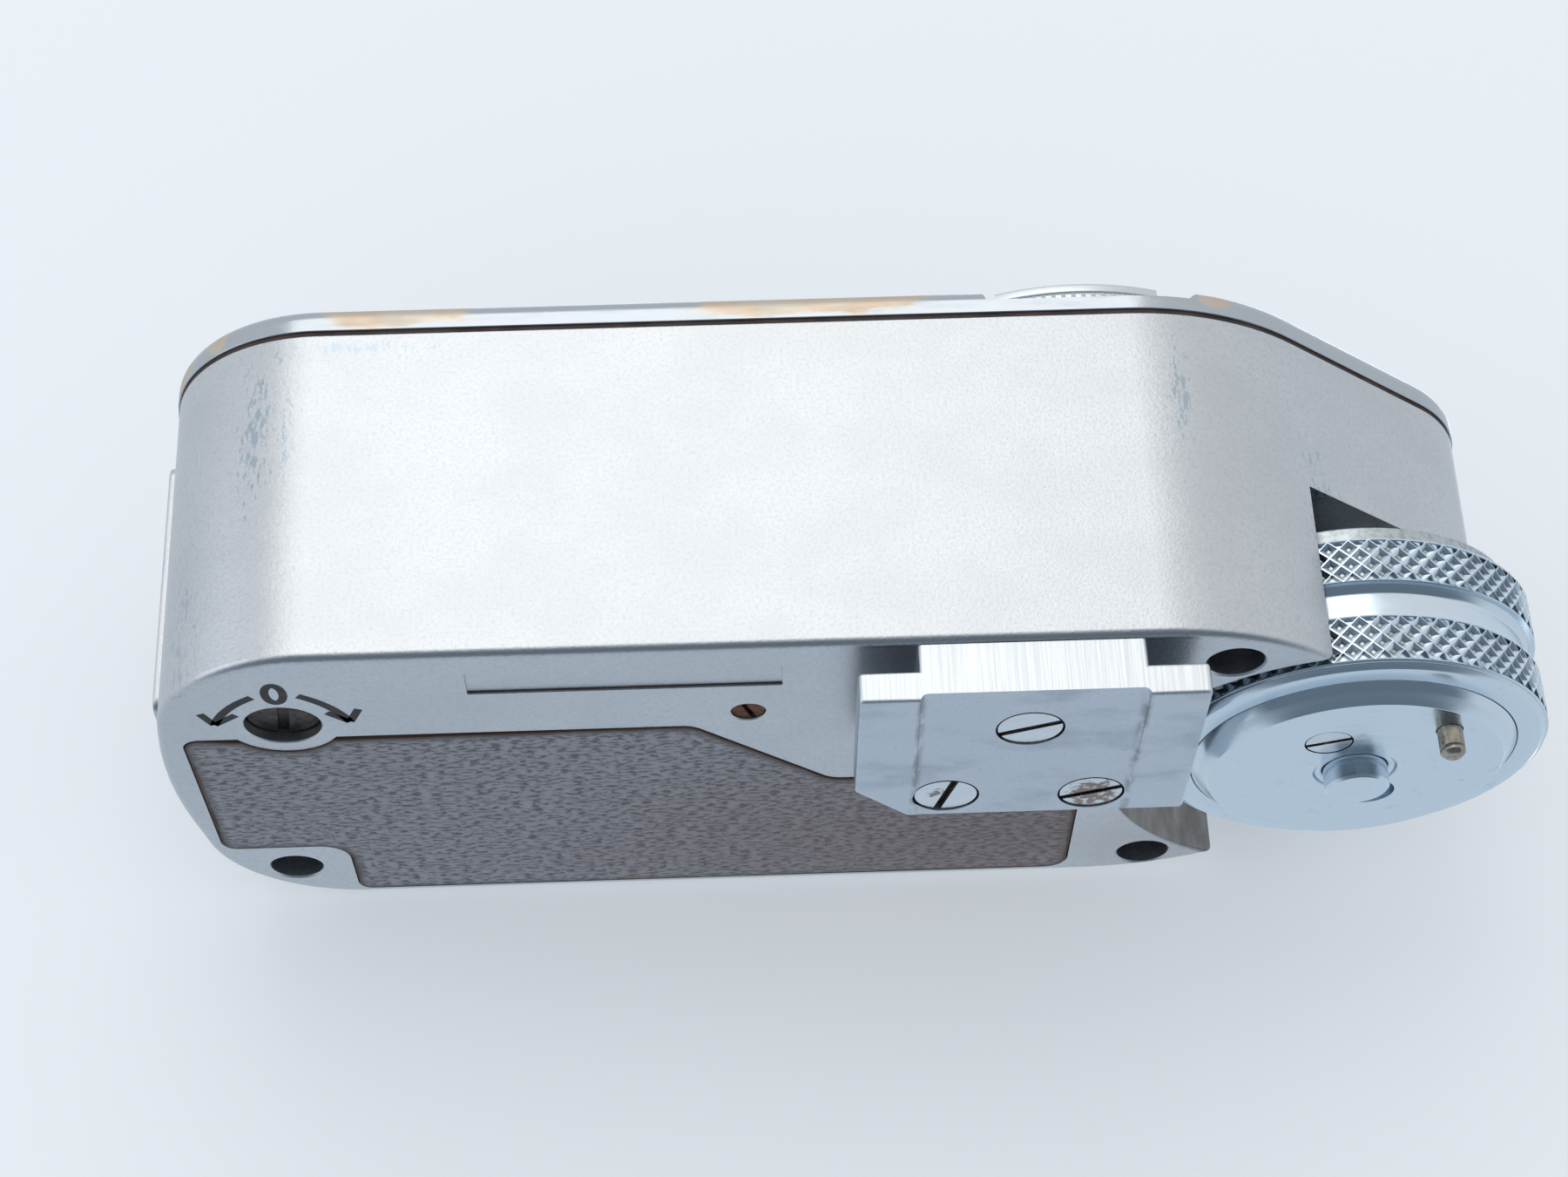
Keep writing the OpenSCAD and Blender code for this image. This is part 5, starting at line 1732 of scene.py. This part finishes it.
class BuildDial(MeterOperator, bpy.types.Operator):
    """Builds the exposure disc, the film-speed disc, their numbers, the washer and the dial screw"""

    bl_idname = "meter.build_dial"
    bl_label = "Dial"

    def execute(self, context):
        sizes = context.scene.meter_sizes
        low, high = node_box("exposure_disc")
        rim = high.x - DIAL_AT.x
        chrome = dial_finish()
        disc = lathe(
            "disc", DIAL_AT, [(1.2, low.z), (rim - 0.12, low.z), (rim - 0.12, high.z), (1.2, high.z)],
            (0.03, 0.15, 0.2, 0.03), segments=180,
        )
        settle(disc, "exposure_disc_body", chrome, "exposure_dial", "dial_chrome", "exposure_disc")
        tooth = new_piece("tooth", *wedge(0.13, 0.27, high.z - low.z - 0.3))
        place = Vector((DIAL_AT.x, DIAL_AT.y, (low.z + high.z) / 2)) * MM
        teeth = grown(
            "exposure_disc_teeth", rings_tree, piece=tooth, centre=place, radius=(rim - 0.13) * MM,
            row_gap=0.0, round=sizes.serrations, rows=1, material=chrome,
        )
        bpy.data.objects.remove(tooth)
        settle(teeth, "exposure_disc_teeth", chrome, "exposure_dial", "dial_chrome", crease=10)
        self.make_speed_disc(chrome)
        self.make_numbers(high.z)
        self.make_centre()
        return {"FINISHED"}

    def make_speed_disc(self, chrome):
        """The upper disc with its finger tab."""
        low, high = node_box("speed_disc")
        body, tab, half = 10.6, DIAL_AT.y - low.y, 20.5
        shoulder = 4

        def plan(inset):
            arc = [polar(tab - inset, -90 + half * k / 12) for k in range(-12, 13)]
            turns = [-90 + half + shoulder + k * (360 - 2 * half - 2 * shoulder) / 80 for k in range(81)]
            return [DIAL_AT + p for p in arc + [polar(body - inset, a) for a in turns]]

        disc = prism("speed", plan, edge_levels(low.z, high.z, 0.1, 0.14, steps=3))
        cut(disc, post(DIAL_AT, 1.25, low.z - 1, high.z + 1))
        settle(disc, "speed_disc_body", chrome, "film_speed_dial", "dial_chrome", "speed_disc")

    def make_numbers(self, disc_top):
        """Filled numbers: shutter times on the lower disc, apertures and a film-speed row above."""
        top = node_box("speed_disc")[1].z
        lower = [numeral(t, 1.35, DIAL_AT + polar(12.1, a), a - 90, disc_top - 0.02, 0.04) for t, a in
                 zip(("1000", "500", "250", "125", "60", "30", "15", "8", "4", "2", "1", "2", "4", "8", "15"),
                     [-45 + 20 * k for k in range(15)])]
        settle(join("time_numbers", lower), "time_numbers", black_paint(), "exposure_dial", "dial_chrome")
        upper = [numeral(t, 1.5, DIAL_AT + polar(9.3, a), a - 90, top - 0.02, 0.04) for t, a in
                 zip(("1.4", "2", "2.8", "4", "5.6", "8", "11", "16", "22"), [10 + 20 * k for k in range(9)])]
        upper += [numeral(t, 1.3, DIAL_AT + polar(9.3, a), a - 90, top - 0.02, 0.04) for t, a in
                  zip(("400", "200", "100", "50", "25", "12"), [205 + 26 * k for k in range(6)])]
        upper += [paint_strip([DIAL_AT + polar(10.1, a), DIAL_AT + polar(10.5, a)], 0.14, top - 0.02) for a in
                  range(0, 360, 10)]
        settle(
            join("aperture_numbers", upper), "aperture_numbers", black_paint(), "film_speed_dial",
            "dial_chrome",
        )

    def make_centre(self):
        """The washer and the slotted screw in the middle."""
        low, high = node_box("dial_washer")
        steel = finish(worn_metal, "washer_steel", "#B9BDC0", "#989DA1", 0.24)
        washer = lathe(
            "washer", DIAL_AT, [(0.75, low.z), (2.6, low.z), (2.6, high.z), (0.75, high.z)],
            (0.02, 0.06, 0.06, 0.02), segments=96,
        )
        settle(washer, "dial_washer_ring", steel, "exposure_dial", "turned_steel", "dial_washer")
        top = node_box("dial_screw")[1].z
        head = lathe(
            "head", DIAL_AT, [(0, high.z - 0.02), (2.4, high.z - 0.02), (2.4, top), (0, top)],
            (0, 0.05, 0.28, 0), segments=96,
        )
        slot = block(
            (DIAL_AT.x - 3, DIAL_AT.y - 0.28, top - 0.33), (DIAL_AT.x + 3, DIAL_AT.y + 0.28, top + 1),
        )
        cut(head, slot)
        settle(head, "dial_screw_head", dial_finish(), "exposure_dial", "dial_chrome", "dial_screw")


def wedge(depth, wide, tall):
    """Points and faces of an upright tooth with a ridge outwards, its root on x = 0."""
    half, up = wide / 2, tall / 2
    points = [(0, -half, -up), (depth, 0, -up), (0, half, -up), (0, -half, up), (depth, 0, up), (0, half, up)]
    faces = [(0, 1, 4, 3), (1, 2, 5, 4), (2, 0, 3, 5), (2, 1, 0), (3, 4, 5)]
    return points, faces


class BuildScale(MeterOperator, bpy.types.Operator):
    """Finishes the scale, its marks and glass, and the movement under it"""

    bl_idname = "meter.build_scale"
    bl_label = "Scale and movement"

    def execute(self, context):
        marks = []
        for k in range(19):
            angle = SCALE_TURN - NEEDLE_SWEEP / 2 + NEEDLE_SWEEP * k / 18
            inner = 20.6 if k % 3 == 0 else 21.4
            line = [PIVOT_AT + polar(inner, angle), PIVOT_AT + polar(22.6, angle)]
            marks.append(paint_strip(line, 0.22 if k % 3 == 0 else 0.13, SCALE_Z - 0.01))
        for k, text in enumerate(("0", "3", "6", "9", "12", "15", "18")):
            angle = SCALE_TURN - NEEDLE_SWEEP / 2 + NEEDLE_SWEEP * k / 6
            marks.append(numeral(text, 1.9, PIVOT_AT + polar(18.6, angle), angle - 90, SCALE_Z - 0.01, 0.04))
        settle(join("scale_marks", marks), "scale_marks", black_paint(), "root", "scale_enamel")
        dress(finish(coating, "ivory_enamel", "#EFEADB", "#E6E0CE", 0.45), "scale_plate")
        dress(finish(clear_glass, "window_glass", "#F6FAFA", 0.0), "scale_window")
        dress(finish(coating, "needle_varnish", "#17171A", "#242327", 0.35), "needle")
        dress(finish(worn_metal, "soft_iron", "#7C8084", "#5C6064", 0.4), "magnet_yoke")
        dress(finish(worn_metal, "magnet_alloy", "#6A6D70", "#4E5154", 0.45), "core_magnet")
        dress(finish(worn_metal, "enamelled_copper", "#A8552D", "#83391B", 0.35, 0.2), "moving_coil")
        dress(
            finish(worn_metal, "spring_bronze", "#C29A5C", "#98743E", 0.3, 0.2), "upper_hairspring",
            "lower_hairspring",
        )
        dress(finish(coating, "varnished_sleeving", "#6E221C", "#561812", 0.5), "cell_leads")
        dress(finish(coating, "resistor_bobbin", "#6B4A2F", "#533822", 0.6), "series_resistor")
        return {"FINISHED"}


# ---------------------------------------------------------------------------
# Stage
# ---------------------------------------------------------------------------


def backdrop(name, corners, sheet):
    """A sheet that shows its upper side only, and that the object neither reflects nor is lit by."""
    mesh = bpy.data.meshes.new(name)
    mesh.from_pydata([Vector(c) * MM for c in corners], [], [(0, 1, 2, 3)])
    mesh.materials.append(sheet)
    piece = linked(name, mesh)
    piece.visible_diffuse = False
    piece.visible_glossy = False
    piece.visible_transmission = False
    piece.visible_shadow = False


def pale_card():
    """Opal white card for the table: matt, softly lit through, and clear from behind."""
    material = bpy.data.materials.new("white_card")
    _, put = blank(material)
    matt = put("ShaderNodeBsdfDiffuse", {"Color": linear("#C4C7CA")})
    lit_through = put("ShaderNodeEmission", {"Color": linear("#8E9194")})
    surface = put("ShaderNodeAddShader", {0: matt.outputs[0], 1: lit_through.outputs[0]})
    clear = put("ShaderNodeBsdfTransparent")
    side = put("ShaderNodeNewGeometry").outputs["Backfacing"]
    shown = put("ShaderNodeMixShader", {0: side, 1: surface.outputs[0], 2: clear.outputs[0]})
    put("ShaderNodeOutputMaterial", {"Surface": shown.outputs[0]})
    return material


def soft_box(name, at, aim, size, power, colour):
    """A square soft light, placed and aimed in millimetres."""
    light = bpy.data.lights.new(name, "AREA")
    light.shape = "SQUARE"
    light.size = size * MM
    light.energy = power
    light.color = linear(colour)[:3]
    lamp = linked(name, light)
    lamp.location = Vector(at) * MM
    lamp.rotation_euler = (Vector(aim) - Vector(at)).to_track_quat("-Z", "Y").to_euler()
    lamp.visible_camera = False


def surroundings():
    """A soft studio: bright above and behind, bluish below, with the dark room round the camera."""
    world = bpy.data.worlds.new("studio")
    _, put = blank(world)
    way = put("ShaderNodeSeparateXYZ", {0: put("ShaderNodeTexCoord").outputs["Generated"]})
    behind = put("ShaderNodeMapRange", {"Value": way.outputs["Y"], "From Min": 0.75, "From Max": -0.9})
    above = put("ShaderNodeMapRange", {"Value": way.outputs["Z"], "From Min": -0.8, "From Max": 0.5})
    level = put("ShaderNodeMath", {
        0: put("ShaderNodeMath", {0: behind, 1: 0.55}, operation="MULTIPLY"),
        1: put("ShaderNodeMath", {0: above, 1: 0.45}, operation="MULTIPLY"),
    }, operation="ADD")
    light = put("ShaderNodeMix", {
        "Factor_Float": level, "A_Color": linear("#CBDAE8"), "B_Color": linear("#F3F6F8"),
    }, data_type="RGBA")
    level_way = put("ShaderNodeCombineXYZ", {"Y": way.outputs["Y"], "Z": way.outputs["Z"]})
    lean = put("ShaderNodeVectorMath", {0: level_way.outputs[0]}, operation="NORMALIZE")
    toward = put("ShaderNodeVectorMath", {
        0: lean.outputs[0], 1: (0.0, -0.66, -0.75),
    }, operation="DOT_PRODUCT")
    shade = put("ShaderNodeMapRange", {
        "Value": toward.outputs["Value"], "From Min": 0.66, "From Max": 0.86,
    }, interpolation_type="SMOOTHSTEP")
    middle_part = put("ShaderNodeMapRange", {
        "Value": put("ShaderNodeMath", {0: way.outputs["X"]}, operation="ABSOLUTE"), "From Min": 0.95,
        "From Max": 0.8,
    }, interpolation_type="SMOOTHSTEP")
    dark = put("ShaderNodeMix", {
        "Factor_Float": put("ShaderNodeMath", {0: shade, 1: middle_part}, operation="MULTIPLY"),
        "A_Color": light, "B_Color": linear("#6E7C89"),
    }, data_type="RGBA")
    matt = put("ShaderNodeLightPath").outputs["Is Diffuse Ray"]
    colour = put("ShaderNodeMix", {
        "Factor_Float": matt, "A_Color": dark, "B_Color": linear("#EEF3F8"),
    }, data_type="RGBA")
    glow = put("ShaderNodeBackground", {"Color": colour, "Strength": 0.95})
    put("ShaderNodeOutputWorld", {"Surface": glow.outputs[0]})
    bpy.context.scene.world = world


class BuildStage(MeterOperator, bpy.types.Operator):
    """Sets the camera, the table, the floor and the soft lights"""

    bl_idname = "meter.build_stage"
    bl_label = "Stage"

    def execute(self, context):
        scene = context.scene
        stage = scene.meter_stage
        lens = bpy.data.cameras.new("camera")
        lens.lens = stage.lens
        lens.sensor_width = 36
        lens.clip_start, lens.clip_end = 0.005, 10
        camera = linked("camera", lens)
        scene.camera = camera
        camera.location = stage.camera_at
        facing = Vector((
            math.sin(stage.azimuth) * math.cos(stage.elevation),
            math.cos(stage.azimuth) * math.cos(stage.elevation),
            math.sin(stage.elevation),
        ))
        camera.rotation_mode = "QUATERNION"
        roll = Matrix.Rotation(stage.roll, 3, "Z").to_quaternion()
        camera.rotation_quaternion = facing.to_track_quat("-Z", "Y") @ roll
        card = pale_card()
        table = node_box("front_bezel")[1].y + 0.02
        reach = 700
        backdrop(
            "table",
            [(-reach, table, -reach), (reach, table, -reach), (reach, table, reach), (-reach, table, reach)],
            card,
        )
        ground = CAD_BOX[0].z / MM - 0.02
        backdrop(
            "ground",
            [
                (-reach, -reach, ground), (reach, -reach, ground), (reach, reach, ground),
                (-reach, reach, ground),
            ],
            card,
        )
        soft_box("key", (-60, -400, 240), (-10, 0, 12), 350, 0.42, "#FFFDF8")
        soft_box("fill", (-330, -160, 20), (-10, 0, 12), 240, 0.14, "#E6F0FF")
        soft_box("front", (60, 340, 200), (-10, 10, 12), 260, 0.3, "#FFFFFF")
        surroundings()
        scene.view_settings.view_transform = "Standard"
        return {"FINISHED"}


class LightMeterPanel(bpy.types.Panel):
    """Lists the steps that build the meter"""

    bl_idname = "VIEW3D_PT_light_meter"
    bl_label = "Light meter"
    bl_space_type = "VIEW_3D"
    bl_region_type = "UI"
    bl_category = "Light meter"

    def draw(self, context):
        column = self.layout.column()
        for group in (context.scene.meter_sizes, context.scene.meter_colours, context.scene.meter_stage):
            for name in group.bl_rna.properties.keys():
                if name not in ("rna_type", "name"):
                    column.prop(group, name)
        for step in STEPS:
            column.operator(step.bl_idname)


STEPS = (
    BuildStage, BuildCase, BuildCover, BuildInlay, BuildFoot, BuildCaseScrews, BuildEndPlate, BuildCell,
    BuildWheel, BuildSpindle, BuildDial, BuildScale,
)
SETTINGS = {"meter_sizes": MeterSizes, "meter_colours": MeterColours, "meter_stage": MeterStage}


def register():
    """Makes the settings, the steps and the panel known."""
    for name, group in SETTINGS.items():
        bpy.utils.register_class(group)
        setattr(bpy.types.Scene, name, bpy.props.PointerProperty(type=group))
    for step in (*STEPS, LightMeterPanel):
        bpy.utils.register_class(step)


def unregister():
    """Takes them away again."""
    for step in (*STEPS, LightMeterPanel):
        bpy.utils.unregister_class(step)
    for name, group in SETTINGS.items():
        delattr(bpy.types.Scene, name)
        bpy.utils.unregister_class(group)


def main():
    """Runs every step."""
    register()
    for step in STEPS:
        group, name = step.bl_idname.split(".")
        getattr(getattr(bpy.ops, group), name)()


if __name__ == "__main__":
    main()
